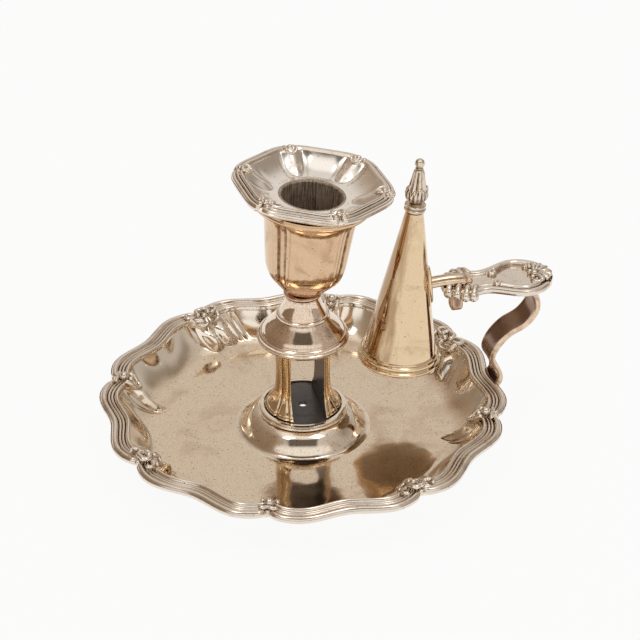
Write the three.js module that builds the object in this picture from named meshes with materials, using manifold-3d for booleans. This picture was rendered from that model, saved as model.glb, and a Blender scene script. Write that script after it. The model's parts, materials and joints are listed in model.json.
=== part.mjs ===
// A chamberstick: a lobed tray with a reeded border, a slotted stem that takes a pair of snuffers,
// a candle socket with a lift-out nozzle, and a handle that carries a hanging extinguisher.
// Millimetres, +Z up, +X towards the handle. The origin is on the table under the middle of the stem.
import * as THREE from 'three';
import { mergeVertices } from 'three/addons/utils/BufferGeometryUtils.js';
import Module from 'manifold-3d';

const wasm = await Module();
wasm.setup();

// Shared
const seatGap = 0.3;
const ovalGap = 0.4;
const roundSteps = 28;
const smallSteps = 16;
const degree = Math.PI / 180;

// Tray: the outline dips in the middle of each lobe, swells at its shoulders and is nicked at the cusps
const lobeCount = 8;
const stepsPerLobe = 8;
const lobeMiddleRadius = 68.8;
const lobeSwell = 3.4;
const lobeCuspStep = 0.4;
const lobeShoulderShare = 0.62;
const trayWallWidth = 11.8;
const traySheet = 1.2;
const trayCrestHeight = 15.7;
const trayLipHeight = 14.2;
const trayLipInset = 0.8;
const trayWallCurve = 1.7;
const trayHoleRadius = 11;

// Tray wall: flutes run down it under the shells, and a single fold under each leaf
const dishStepsPerLobe = 16;
const fluteSteps = 2;
const fluteCount = 3;
const fluteHeight = 1.6;
const foldHeight = 2;
const fluteRun = 8.8;
const fluteLean = 45 * degree;

// Tray border: a reeded moulding, with a shell or a leaf over each cusp
const borderWidth = 7;
const borderBeadWidths = [2.2, 1.3, 1.3, 2.2];
const borderBeadHeights = [1.7, 1.3, 1.2, 1.3];
const borderGroove = 0.6;
const borderNick = 1;
const rimShellWidth = 14;
const rimShellLength = 10.5;
const rimShellHeight = 2.8;
const rimShellFlutes = 9;
const rimLeafWidth = 11;
const rimLeafLength = 10.5;
const rimLeafHeight = 2.6;
const rimLeafFlutes = 5;
const rimMountOverhang = 0.2;
const scallopDepth = 0.06;

// Stem
const footRadius = 21.9;
const footEdgeHeight = 0.5;
const footShoulderRadius = 21.4;
const footTopRadius = 16;
const footHeight = 9;
const footSheet = 1.2;
const footLandRadius = 11.5;
const slotWidth = 11.8;
const slotFloorRadius = 13.7;
const slotFloorSheet = 1.2;
const ventRadius = 1.35;
const footRingWidth = 2.2;
const footRingHeight = 1.9;
const cheekHeight = 27.8;
const cheekFootRadius = 13.4;
const cheekFootHeight = 2;
const cheekWaistRadius = 9.8;
const cheekHeadRadius = 10.3;
const slotRoofSheet = 1.2;
const flangeRadius = 16.1;
const flangeEdge = 0.5;
const flangeRimHeight = 2.4;
const flangeShoulderRadius = 14.4;
const flangeShoulderHeight = 3.8;
const flangeStepRadius = 8.9;
const flangeHeight = 17.4;
const flangeSheet = 1.2;
const neckRadius = 6.05;
const collarRadius = 6.7;
const collarHeight = 1.5;

// Candle socket and nozzle: the neck is bent, so both lean a little towards the handle
const socketLean = 5 * degree;
const socketHeight = 34.8;
const socketFootRadius = 6.3;
const socketBellyRoom = 1.7;
const socketBellyHeight = 9;
const socketWaistRoom = 4.1;
const socketWaistHeight = 23.6;
const socketLipFlare = 4.9;
const socketLipWidth = 2.2;
const socketSheet = 1.2;
const socketFloor = 2.4;
const socketPanels = 4;
const socketPanelFlat = 0.035;
const socketPanelHeading = 40 * degree;
const nozzleHoleRadius = 11.5;
const nozzleSheet = 1;
const nozzleSides = 6;
const nozzleStepsPerSide = 8;
const nozzleCornerRadius = 28.6;
const nozzleSideRadius = 26;
const nozzleCornerHeading = 37 * degree;
const nozzleFlatWidth = 5.5;
const nozzleRise = 5;
const nozzleLipDrop = 1.2;
const nozzleBorderWidth = 4.2;
const nozzleBeadWidths = [1.6, 1.2, 1.4];
const nozzleBeadHeights = [1.7, 1.4, 1.1];
const nozzleGroove = 0.6;
const nozzleNick = 0.6;
const nozzleTubeSheet = 0.8;
const nozzleTubeLength = 22;
const nozzleShellWidth = 8;
const nozzleShellLength = 6.6;
const nozzleShellHeight = 2;
const nozzleShellFlutes = 5;
const nozzleShellOverhang = 0.2;

// Extinguisher: it hangs between the nozzle and the handle
const coneReach = 8.8;
const coneDrop = 28.1;
const coneLean = 4.2 * degree;
const coneBaseRadius = 13.6;
const coneTopRadius = 3.1;
const coneHeight = 59;
const coneSheet = 1;
const coneBeadHeight = 4.6;
const coneBeadWidth = 1.1;
const finialCollarRadius = 3.85;
const finialCollarHeight = 3.3;
const budRadius = 3.8;
const budHeight = 12.4;
const budLeaves = 8;
const budFluteDepth = 0.09;
const ballRadius = 1.75;
const lugWidth = 6.4;
const lugHeight = 15;
const lugThickness = 1.4;
const hookReach = 15.2;
const hookWidth = 5;
const hookThickness = 2.2;
const hookOverhang = 1.2;
const tangInset = 5.2;
const tangLength = 10.6;
const tangWidth = 4.4;
const tangThickness = 4.4;
const tangClearance = 0.4;

// Handle: the thumbpiece's runs follow each other from its pointed start to its round end
const thumbHeight = 53;
const thumbSheet = 2;
const thumbFlareRun = 7.6;
const thumbWaistRun = 6.4;
const thumbSpoonRun = 14;
const thumbEndRun = 12;
const thumbStartHalfWidth = 2.6;
const thumbFlareHalfWidth = 8;
const thumbWaistHalfWidth = 6.4;
const thumbSpoonHalfWidth = 11.2;
const thumbReedWidth = 2.2;
const thumbReedHeight = 1.3;
const thumbReedSteps = 9;
const thumbEdgeSteps = 22;
const thumbShellWidth = 13;
const thumbShellLength = 8;
const thumbShellHeight = 2.2;
const thumbShellFlutes = 7;
const knuckleRadius = 1.6;
const knuckleCount = 3;
const knuckleSteps = 8;
const strapWidth = 11.5;
const strapThickness = 1.8;
const strapRimClearance = 0.9;
const strapBend = 4;
const strapElbowInset = 0.6;
const strapElbowRise = 8;
const strapKneeDrop = 19;
const strapTipInset = 6;
const strapSteps = 40;

// Finishes
const silver = new THREE.MeshStandardMaterial({ color: 0xb9ab98, roughness: 0.28, metalness: 1 });
const border = new THREE.MeshStandardMaterial({ color: 0xc2b5a6, roughness: 0.3, metalness: 1 });
const gilded = new THREE.MeshStandardMaterial({ color: 0xb79a72, roughness: 0.26, metalness: 1 });
const sooty = new THREE.MeshStandardMaterial({ color: 0x5d5048, roughness: 0.7, metalness: 0.4 });

// A three.js geometry as a closed solid, with its faces turned outwards.
function solid(geometry) {
  const bare = geometry.clone();
  bare.deleteAttribute('normal');
  bare.deleteAttribute('uv');
  const merged = mergeVertices(bare, 1e-4);
  const places = Float32Array.from(merged.getAttribute('position').array);
  const at = (i) => new THREE.Vector3().fromArray(places, 3 * i);
  const corners = [];
  let volume = 0;
  for (let i = 0; i < merged.index.count; i += 3) {
    const [a, b, c] = [0, 1, 2].map((k) => merged.index.getX(i + k));
    if (a !== b && b !== c && c !== a) {
      corners.push(a, b, c);
      volume += at(a).dot(at(b).cross(at(c)));
    }
  }
  if (volume < 0) corners.reverse();
  const triVerts = Uint32Array.from(corners);
  return new wasm.Manifold(new wasm.Mesh({ numProp: 3, vertProperties: places, triVerts }));
}

function named(name, body, material) {
  const { vertProperties, triVerts } = body.getMesh();
  const geometry = new THREE.BufferGeometry();
  geometry.setAttribute('position', new THREE.BufferAttribute(vertProperties, 3));
  geometry.setIndex(new THREE.BufferAttribute(triVerts, 1));
  geometry.computeVertexNormals();
  const mesh = new THREE.Mesh(geometry, material);
  mesh.name = name;
  return mesh;
}

// A profile of [radius, height] points turned about Z.
function turned(profile, steps = roundSteps) {
  const points = profile.map(([radius, height]) => new THREE.Vector2(radius, height));
  return new THREE.LatheGeometry(points, steps).rotateX(Math.PI / 2);
}

// A line moved sideways, to its right for a positive distance, with mitred corners.
function shifted(line, distance) {
  const normals = line.slice(1).map(([x, y], i) => {
    const along = new THREE.Vector2(x - line[i][0], y - line[i][1]).normalize();
    return new THREE.Vector2(along.y, -along.x);
  });
  return line.map(([x, y], i) => {
    const before = normals[Math.max(i - 1, 0)];
    const after = normals[Math.min(i, normals.length - 1)];
    const mitre = before.clone().add(after).multiplyScalar(distance / (1 + before.dot(after)));
    return [x + mitre.x, y + mitre.y];
  });
}

// A sheet of the given thickness on the right of a line, as a closed profile.
function sheet(line, thickness) {
  return [...line, ...shifted(line, thickness).reverse(), line[0]];
}

// Points of a smooth curve through a few [x, y] points.
function smooth(points, steps) {
  const curve = new THREE.SplineCurve(points.map(([x, y]) => new THREE.Vector2(x, y)));
  return curve.getPoints(steps).map((point) => [point.x, point.y]);
}

function outline(points) {
  return new THREE.Shape(points.map(([x, y]) => new THREE.Vector2(x, y)));
}

function raised(shape, height) {
  return new THREE.ExtrudeGeometry(shape, { depth: height, bevelEnabled: false, curveSegments: smallSteps });
}

// Moves every point of a turned geometry to a new distance from the Z axis.
function reshaped(geometry, newRadius) {
  const places = geometry.getAttribute('position');
  for (let i = 0; i < places.count; i += 1) {
    const [x, y] = [places.getX(i), places.getY(i)];
    const radius = Math.hypot(x, y);
    if (radius > 0) {
      const factor = newRadius(radius, Math.atan2(y, x), places.getZ(i)) / radius;
      places.setXY(i, x * factor, y * factor);
    }
  }
  return geometry;
}

// 0 in the middle of each of count equal sectors and 1 at the edges between them.
function sectorOffset(angle, count) {
  const turn = (angle * count) / (2 * Math.PI);
  return 2 * Math.abs(turn - Math.round(turn));
}

// The wedge between two headings, from the Z axis outwards.
function wedge(heading, halfAngle, reach, top) {
  const side = reach * Math.tan(halfAngle);
  const body = solid(raised(outline([[0, 0], [reach, -side], [reach, side]]), top));
  return body.rotate([0, 0, heading / degree]);
}

// A reeded strip on a sloping seat from [x, y] to [x, y]: beads side by side over a flat back.
function reedProfile(from, to, widths, heights, groove) {
  const run = new THREE.Vector2(to[0] - from[0], to[1] - from[1]);
  const total = widths.reduce((sum, width) => sum + width, 0);
  const along = run.clone().normalize();
  const place = (share, rise) => [
    from[0] + run.x * share - along.y * rise,
    from[1] + run.y * share + along.x * rise,
  ];
  const points = [place(0, 0), place(0, groove)];
  let start = 0;
  widths.forEach((width, i) => {
    points.push(place((start + 0.3 * width) / total, heights[i]));
    points.push(place((start + 0.7 * width) / total, heights[i]));
    start += width;
    points.push(place(start / total, groove));
  });
  return [...points, place(1, 0), place(0, 0)];
}

// A tall post with an oval section, scalloped by its flutes if it has any.
function ovalPost(length, width, height, flutes = 0) {
  const points = [];
  const steps = flutes > 0 ? 4 * flutes : smallSteps;
  for (let i = 0; i < steps; i += 1) {
    const angle = (i / steps) * 2 * Math.PI;
    const scallop = 1 - scallopDepth * (1 - Math.cos(flutes * angle)) / 2;
    points.push([(scallop * length * Math.cos(angle)) / 2, (scallop * width * Math.sin(angle)) / 2]);
  }
  return solid(raised(outline(points), height));
}

function placedAt(body, radius, heading) {
  return body.translate([radius, 0, 0]).rotate([0, 0, heading / degree]);
}

// A band of the given thickness that lies a seat gap above a line.
function bandOver(line, thickness) {
  const lower = shifted(line, -seatGap);
  return [...lower, ...shifted(line, -seatGap - thickness).reverse(), lower[0]];
}

// Tray
const lobeShoulderRadius = lobeMiddleRadius + lobeSwell;
const lobeCuspRadius = lobeMiddleRadius + lobeCuspStep;
const trayFloorRadius = lobeMiddleRadius - borderWidth - trayWallWidth;

function lobeRadius(angle) {
  const offset = sectorOffset(angle, lobeCount);
  if (offset < lobeShoulderShare) {
    const rise = THREE.MathUtils.smoothstep(offset, 0, lobeShoulderShare);
    return THREE.MathUtils.lerp(lobeMiddleRadius, lobeShoulderRadius, rise);
  }
  const fall = (offset - lobeShoulderShare) / (1 - lobeShoulderShare);
  return THREE.MathUtils.lerp(lobeShoulderRadius, lobeCuspRadius, fall * fall);
}

// The floor stays round, the border keeps its width and the wall between them is stretched to fit.
function stretched(radius, angle) {
  const growth = lobeRadius(angle) - lobeMiddleRadius;
  return radius + growth * THREE.MathUtils.clamp((radius - trayFloorRadius) / trayWallWidth, 0, 1);
}

function toLobes(profile) {
  return reshaped(turned(profile, lobeCount * stepsPerLobe), stretched);
}

// The stretched radius at any heading, on the straight facets between the steps of the border.
function faceted(radius, angle) {
  const step = (2 * Math.PI) / (lobeCount * stepsPerLobe);
  const before = Math.floor(angle / step + 1e-6) * step;
  const after = before + step;
  const [from, to] = [stretched(radius, before), stretched(radius, after)];
  return (from * to * Math.sin(step)) / (from * Math.sin(angle - before) + to * Math.sin(after - angle));
}

// How far the wall is pushed up at a place.
function embossing(radius, angle) {
  const pitch = (2 * Math.PI) / lobeCount;
  const cusp = Math.round(angle / pitch - 0.5);
  const offset = Math.abs(angle - (cusp + 0.5) * pitch);
  const [count, height] = cusp % 2 === 0 ? [fluteCount, fluteHeight] : [1, foldHeight];
  const flutePitch = (fluteSteps * pitch) / dishStepsPerLobe;
  const along = THREE.MathUtils.clamp((radius - trayFloorRadius) / fluteRun, 0, 1);
  const crown = offset < (count * flutePitch) / 2 ? Math.abs(Math.cos((Math.PI * offset) / flutePitch)) : 0;
  return height * crown * Math.sin(Math.PI * along);
}

// The dish has finer steps than its border, and keeps its thickness where it is embossed.
function dishPiece() {
  const geometry = turned(sheet(trayTop, traySheet), lobeCount * dishStepsPerLobe);
  const places = geometry.getAttribute('position');
  for (let i = 0; i < places.count; i += 1) {
    const [x, y] = [places.getX(i), places.getY(i)];
    const [radius, angle] = [Math.hypot(x, y), Math.atan2(y, x)];
    const rise = embossing(radius, angle);
    const reach = faceted(radius, angle) - rise * Math.sin(fluteLean);
    const height = places.getZ(i) + rise * Math.cos(fluteLean);
    places.setXYZ(i, reach * Math.cos(angle), reach * Math.sin(angle), height);
  }
  return named('tray_dish', solid(geometry), silver);
}

const trayCrest = [lobeMiddleRadius - borderWidth, trayCrestHeight];
const trayLip = [lobeMiddleRadius - trayLipInset, trayLipHeight];
const trayWall = [0, 0.25, 0.5, 0.75].map((share) => [
  THREE.MathUtils.lerp(trayFloorRadius, trayCrest[0], share),
  THREE.MathUtils.lerp(traySheet, trayCrestHeight, share ** trayWallCurve),
]);
const trayTop = [[trayHoleRadius, traySheet], ...trayWall, trayCrest, trayLip];

const rimShell = {
  kind: 'shell', length: rimShellLength, width: rimShellWidth, height: rimShellHeight, flutes: rimShellFlutes,
};
const rimLeaf = {
  kind: 'leaf', length: rimLeafLength, width: rimLeafWidth, height: rimLeafHeight, flutes: rimLeafFlutes,
};
const rimTop = trayCrestHeight + rimShellHeight + rimLeafHeight;

// Shells and leaves take turns at the cusps. The room for one is a plain oval, a little larger all round.
function rimOrnament(index) {
  const ornament = index % 2 === 0 ? rimShell : rimLeaf;
  const { length, width, flutes } = ornament;
  const heading = ((index + 0.5) * 2 * Math.PI) / lobeCount;
  const radius = lobeCuspRadius + rimMountOverhang - length / 2;
  const post = placedAt(ovalPost(length, width, rimTop, flutes), radius, heading);
  const room = placedAt(ovalPost(length + 2 * ovalGap, width + 2 * ovalGap, rimTop), radius, heading);
  return { ...ornament, post, room };
}

// The reeds of each lobe stop at the cusps and make room for the shell or leaf that covers them.
function trayPieces() {
  const pieces = [dishPiece()];
  const [from, to] = shifted([trayCrest, [lobeMiddleRadius, trayLipHeight]], -seatGap);
  const reeds = solid(toLobes(reedProfile(from, to, borderBeadWidths, borderBeadHeights, borderGroove)));
  const pitch = (2 * Math.PI) / lobeCount;
  const halfAngle = pitch / 2 - borderNick / lobeCuspRadius;
  for (let i = 0; i < lobeCount; i += 1) {
    const sector = wedge(i * pitch, halfAngle, 2 * lobeShoulderRadius, rimTop);
    const ends = rimOrnament(i + lobeCount - 1).room.add(rimOrnament(i).room);
    pieces.push(named(`rim_reed_${i + 1}`, reeds.intersect(sector).subtract(ends), border));
  }
  for (let i = 0; i < lobeCount; i += 1) {
    const { kind, height, post } = rimOrnament(i);
    const cover = solid(toLobes(bandOver(trayTop.slice(1), height)));
    const number = Math.floor(i / 2) + 1;
    pieces.push(named(`rim_${kind}_${number}`, cover.intersect(post), border));
  }
  return pieces;
}

// Stem, from the dome on the tray's floor up to the neck
const footBase = traySheet + seatGap;
const footTop = footBase + footHeight;
const slotFloorTop = footTop + seatGap + slotFloorSheet;
const cheekBase = slotFloorTop + seatGap;
const cheekTop = cheekBase + cheekHeight;
const flangeBase = cheekTop + seatGap;
const neckTop = flangeBase + flangeHeight;

function footPiece() {
  const dome = [
    [footShoulderRadius, footBase + 0.15 * footHeight],
    [THREE.MathUtils.lerp(footShoulderRadius, footTopRadius, 0.06), footBase + 0.55 * footHeight],
    [THREE.MathUtils.lerp(footShoulderRadius, footTopRadius, 0.3), footBase + 0.85 * footHeight],
    [footTopRadius, footTop],
  ];
  const land = [footLandRadius, footTop];
  const outside = [[footRadius, footBase], [footRadius, footBase + footEdgeHeight], ...smooth(dome, 6), land];
  const inside = shifted([...dome, land], -footSheet).reverse();
  const brim = [footShoulderRadius - footSheet, footBase];
  return named('stem_foot', solid(turned([...outside, ...inside, brim, outside[0]])), silver);
}

// A ring with a rounded edge and a hollow above it, round the slot's floor.
function footRingPiece() {
  const inner = slotFloorRadius + seatGap;
  const base = footTop + seatGap;
  const at = (across, up) => [inner + across * footRingWidth, base + up * footRingHeight];
  const edge = [at(0.8, 0), at(1, 0.25), at(1, 0.5), at(0.72, 0.7), at(0.55, 1)];
  const profile = [at(0, 0), ...edge, at(0, 1), at(0, 0)];
  return named('foot_ring', solid(turned(profile)), silver);
}

function slotFloorPiece() {
  const bottom = footTop + seatGap;
  const profile = [
    [ventRadius, bottom], [slotFloorRadius, bottom],
    [slotFloorRadius, slotFloorTop], [ventRadius, slotFloorTop], [ventRadius, bottom],
  ];
  return named('slot_floor', solid(turned(profile)), sooty);
}

// The two cheeks are what the snuffer slot leaves of a turned waisted post.
function cheekPieces() {
  const up = (share) => cheekBase + cheekFootHeight + share * (cheekHeight - cheekFootHeight);
  const across = (share) => THREE.MathUtils.lerp(cheekWaistRadius, cheekFootRadius, share);
  const side = [
    [cheekFootRadius, cheekBase], [cheekFootRadius, cheekBase + 0.55 * cheekFootHeight],
    [across(0.8), cheekBase + 0.7 * cheekFootHeight],
    ...smooth([
      [across(0.75), up(0)], [across(0.33), up(0.14)], [across(0.06), up(0.36)],
      [cheekWaistRadius, up(0.68)], [cheekHeadRadius, cheekTop],
    ], 7),
  ];
  const post = solid(turned([[0, cheekBase], ...side, [0, cheekTop]]));
  const length = 2 * cheekFootRadius;
  const half = new THREE.BoxGeometry(length, 2 * length, 2 * cheekHeight);
  const middle = (cheekBase + cheekTop) / 2;
  const keep = (sign) => solid(half).translate([sign * (slotWidth + length) / 2, 0, middle]);
  return [
    named('slot_cheek_left', post.intersect(keep(-1)), gilded),
    named('slot_cheek_right', post.intersect(keep(1)), gilded),
  ];
}

// A saucer-like flange that rises by a step and a hollow cone to the neck, closed below by the slot's roof.
function flangePieces() {
  const up = (share) => THREE.MathUtils.lerp(flangeBase + flangeShoulderHeight, neckTop, share);
  const wallRadius = flangeRadius - flangeEdge - flangeSheet;
  const boreRadius = neckRadius - flangeSheet;
  const roofTop = flangeBase + slotRoofSheet;
  const outside = [
    [flangeRadius - flangeEdge, flangeBase], [flangeRadius, flangeBase + flangeEdge],
    [flangeRadius, flangeBase + 0.6 * flangeRimHeight],
    [(flangeRadius + 2 * flangeShoulderRadius) / 3, flangeBase + flangeRimHeight],
    [flangeShoulderRadius, up(0)],
    [THREE.MathUtils.lerp(flangeStepRadius, flangeShoulderRadius, 0.4), up(0.3)],
    [flangeStepRadius, up(0.45)], [THREE.MathUtils.lerp(neckRadius, flangeStepRadius, 0.82), up(0.49)],
    [THREE.MathUtils.lerp(neckRadius, flangeStepRadius, 0.28), up(0.68)], [neckRadius, up(0.86)],
    [neckRadius, neckTop], [0, neckTop],
  ];
  const inside = [
    [0, neckTop - flangeSheet], [boreRadius, neckTop - flangeSheet], [boreRadius, up(0.6)],
    [flangeStepRadius - flangeSheet, up(0.3)], [flangeShoulderRadius - flangeSheet, up(0) - flangeSheet],
    [wallRadius, roofTop + seatGap], [wallRadius, flangeBase],
  ];
  const roofRadius = wallRadius - seatGap;
  const roof = [[0, flangeBase], [roofRadius, flangeBase], [roofRadius, roofTop], [0, roofTop]];
  return [
    named('stem_flange', solid(turned([...outside, ...inside, outside[0]])), silver),
    named('slot_roof', solid(turned(roof)), sooty),
  ];
}

function collarPiece() {
  const base = neckTop + seatGap;
  const profile = [
    [0, base], [neckRadius, base], [collarRadius, base + 0.27 * collarHeight],
    [collarRadius, base + 0.73 * collarHeight], [neckRadius, base + collarHeight], [0, base + collarHeight],
  ];
  return named('neck_collar', solid(turned(profile, smallSteps)), gilded);
}

// Socket and nozzle, in a frame whose Z is the leaning axis and whose origin is on top of the collar
const socketBase = seatGap + socketFootRadius * Math.sin(socketLean);
const socketTop = socketBase + socketHeight;
const panBase = socketTop + seatGap;
const panTop = panBase + nozzleSheet;

const socketBellyRadius = nozzleHoleRadius + socketBellyRoom;
const socketWaistRadius = nozzleHoleRadius + socketWaistRoom;
const socketLipRadius = socketWaistRadius + socketLipFlare;

// A vase-shaped cup whose lower part is flattened into broad panels between narrow strips.
function socketPiece() {
  const lipHeight = socketHeight - socketWaistHeight;
  const side = [
    [1.3 * socketFootRadius, socketBase + 0.07 * socketBellyHeight],
    [0.8 * socketBellyRadius, socketBase + 0.4 * socketBellyHeight],
    [socketBellyRadius, socketBase + socketBellyHeight],
    [(socketBellyRadius + socketWaistRadius) / 2, socketBase + (socketBellyHeight + socketWaistHeight) / 2],
    [socketWaistRadius, socketBase + socketWaistHeight],
    [socketWaistRadius + 0.35 * socketLipFlare, socketTop - 0.2 * lipHeight],
    [socketLipRadius, socketTop - socketSheet],
  ];
  const outside = [
    [0, socketBase], [socketFootRadius, socketBase], ...smooth(side, 10), [socketLipRadius, socketTop],
  ];
  const floorHeight = socketBase + socketFloor;
  const lining = shifted(side, -socketSheet).filter(([, height]) => height > floorHeight);
  const wall = lining.slice(0, -1).reverse();
  const mouth = [socketLipRadius - socketLipWidth, socketTop];
  const inside = [mouth, ...wall, [lining[0][0] - socketSheet, floorHeight], [0, floorHeight]];
  const panelled = reshaped(turned([...outside, ...inside, outside[0]]), (radius, angle, height) => {
    const offset = sectorOffset(angle - socketPanelHeading, socketPanels);
    const fade = Math.min(1, (socketTop - height) / lipHeight);
    return radius * (1 - socketPanelFlat * fade * (1 - (1 - offset) ** 8) * offset);
  });
  return named('socket_cup', solid(panelled), gilded);
}

function nozzleRadius(angle) {
  const offset = sectorOffset(angle - nozzleCornerHeading, nozzleSides);
  return THREE.MathUtils.lerp(nozzleCornerRadius, nozzleSideRadius, Math.sin((offset * Math.PI) / 2));
}

const nozzleFlatRadius = nozzleHoleRadius + nozzleFlatWidth;
const nozzleCrest = [nozzleSideRadius - nozzleBorderWidth, panTop + nozzleRise];
const nozzleLip = [nozzleSideRadius - nozzleSheet / 2, nozzleCrest[1] - nozzleLipDrop];
const nozzleTop = [
  [nozzleHoleRadius, panTop], [nozzleFlatRadius, panTop],
  [THREE.MathUtils.lerp(nozzleFlatRadius, nozzleCrest[0], 0.6), panTop + 0.35 * nozzleRise],
  nozzleCrest, nozzleLip,
];

// The middle of the pan stays round and its border follows the six-sided outline.
function toSides(profile) {
  return reshaped(turned(profile, nozzleSides * nozzleStepsPerSide), (radius, angle) => {
    const growth = nozzleRadius(angle) - nozzleSideRadius;
    const share = (radius - nozzleFlatRadius) / (nozzleCrest[0] - nozzleFlatRadius);
    return radius + growth * THREE.MathUtils.clamp(share, 0, 1);
  });
}

function nozzlePost(corner, gap, flutes) {
  const post = ovalPost(nozzleShellLength + 2 * gap, nozzleShellWidth + 2 * gap, 2 * nozzleCrest[1], flutes);
  return placedAt(post, nozzleCornerRadius + nozzleShellOverhang - nozzleShellLength / 2, corner);
}

function nozzlePieces() {
  const tubeOuter = nozzleHoleRadius - seatGap;
  const tubeInner = tubeOuter - nozzleTubeSheet;
  const tubeBottom = panTop - nozzleTubeLength;
  const tube = [
    [tubeInner, tubeBottom], [tubeOuter, tubeBottom], [tubeOuter, panTop], [tubeInner, panTop],
    [tubeInner, tubeBottom],
  ];
  const pieces = [
    named('nozzle_pan', solid(toSides(sheet(nozzleTop, nozzleSheet))), border),
    named('nozzle_tube', solid(turned(tube)), sooty),
  ];
  const [from, to] = shifted([nozzleCrest, [nozzleSideRadius, nozzleLip[1]]], -seatGap);
  const reeds = solid(toSides(reedProfile(from, to, nozzleBeadWidths, nozzleBeadHeights, nozzleGroove)));
  const cover = solid(toSides(bandOver(nozzleTop.slice(1), nozzleShellHeight)));
  const pitch = (2 * Math.PI) / nozzleSides;
  const halfAngle = pitch / 2 - nozzleNick / nozzleCornerRadius;
  for (let i = 0; i < nozzleSides; i += 1) {
    const corner = nozzleCornerHeading + i * pitch;
    const sector = wedge(corner + pitch / 2, halfAngle, 2 * nozzleCornerRadius, 2 * nozzleCrest[1]);
    const ends = nozzlePost(corner, ovalGap).add(nozzlePost(corner + pitch, ovalGap));
    pieces.push(named(`nozzle_reed_${i + 1}`, reeds.intersect(sector).subtract(ends), border));
    const shell = cover.intersect(nozzlePost(corner, 0, nozzleShellFlutes));
    pieces.push(named(`nozzle_shell_${i + 1}`, shell, border));
  }
  return pieces;
}

// Handle: a bent strap from under the tray to a flat thumbpiece
const coneX = nozzleSideRadius + coneReach;
const thumbStart = coneX + hookReach;
const thumbFlareAt = thumbStart + thumbFlareRun;
const thumbWaistAt = thumbFlareAt + thumbWaistRun;
const thumbSpoonAt = thumbWaistAt + thumbSpoonRun;
const thumbEnd = thumbSpoonAt + thumbEndRun;
const thumbReedJoin = (thumbWaistAt + thumbSpoonAt) / 2;
const thumbTop = thumbHeight + thumbSheet;
const tangAt = thumbStart + tangInset;
const coneZ = thumbTop - coneDrop;

// The strap lies along the tray's wall, turns up outside the border and doubles back under the thumbpiece.
// Its edges meet the wall first, because the lobe swells on both sides of it.
function strapPiece() {
  const edgeAngle = Math.atan2(strapWidth / 2, trayFloorRadius);
  const wall = trayTop.map(([radius, height]) => [stretched(radius, edgeAngle), height]);
  const seat = shifted(wall, traySheet + seatGap + strapThickness / 2);
  const outside = stretched(lobeMiddleRadius, edgeAngle) + strapRimClearance + strapThickness / 2;
  const under = thumbHeight - seatGap - strapThickness / 2;
  const elbow = [lobeMiddleRadius - strapElbowInset, trayCrestHeight + strapElbowRise];
  const knee = thumbHeight - strapKneeDrop;
  const tip = thumbEnd - strapTipInset;
  const rise = under - knee;
  const route = [
    seat[2], seat[3], seat[4],
    [outside - strapBend, trayLipHeight - strapBend], [outside, trayLipHeight],
    [outside - 0.1 * strapBend, trayLipHeight + 0.5 * strapElbowRise],
    elbow, [elbow[0] + 0.4 * strapBend, (elbow[1] + knee) / 2],
    [tip - 2.5 * strapBend, knee], [tip - 0.9 * strapBend, knee + 0.2 * rise],
    [tip, knee + 0.52 * rise], [tip - 0.4 * strapBend, knee + 0.9 * rise], [tip - 1.8 * strapBend, under],
  ];
  const middle = smooth(route, strapSteps);
  const edge = [...shifted(middle, strapThickness / 2), ...shifted(middle, -strapThickness / 2).reverse()];
  const band = raised(outline(edge), strapWidth).rotateX(Math.PI / 2).translate(0, strapWidth / 2, 0);
  const tray = sheet(shifted(trayTop, -seatGap), traySheet + 2 * seatGap);
  return named('handle_strap', solid(band).subtract(solid(toLobes(tray))), gilded);
}

// Half the thumbpiece's width along its length: a flared start, a waist and a spoon-shaped end.
function thumbHalfWidth(x) {
  if (x < thumbFlareAt) {
    const share = (x - thumbStart) / (thumbFlareAt - thumbStart);
    return THREE.MathUtils.lerp(thumbStartHalfWidth, thumbFlareHalfWidth, share);
  }
  if (x < thumbWaistAt) {
    const share = THREE.MathUtils.smoothstep(x, thumbFlareAt, thumbWaistAt);
    return THREE.MathUtils.lerp(thumbFlareHalfWidth, thumbWaistHalfWidth, share);
  }
  if (x < thumbSpoonAt) {
    const share = THREE.MathUtils.smoothstep(x, thumbWaistAt, thumbSpoonAt);
    return THREE.MathUtils.lerp(thumbWaistHalfWidth, thumbSpoonHalfWidth, share);
  }
  const share = (x - thumbSpoonAt) / (thumbEnd - thumbSpoonAt);
  return thumbSpoonHalfWidth * Math.sqrt(Math.max(0, 1 - share * share));
}

function thumbEdge(from, to, steps) {
  const points = [];
  for (let i = 0; i <= steps; i += 1) {
    const x = THREE.MathUtils.lerp(from, to, Math.sin((i / steps) * (Math.PI / 2)));
    points.push([x, -thumbHalfWidth(x)]);
  }
  return points;
}

function thumbReed(name, from, to, sign) {
  const edge = thumbEdge(from, to, thumbReedSteps);
  const band = [...edge, ...shifted(edge, -thumbReedWidth).reverse()].map(([x, y]) => [x, sign * y]);
  const strip = raised(outline(band), thumbReedHeight).translate(0, 0, thumbTop + seatGap);
  return named(name, solid(strip), border);
}

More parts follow.
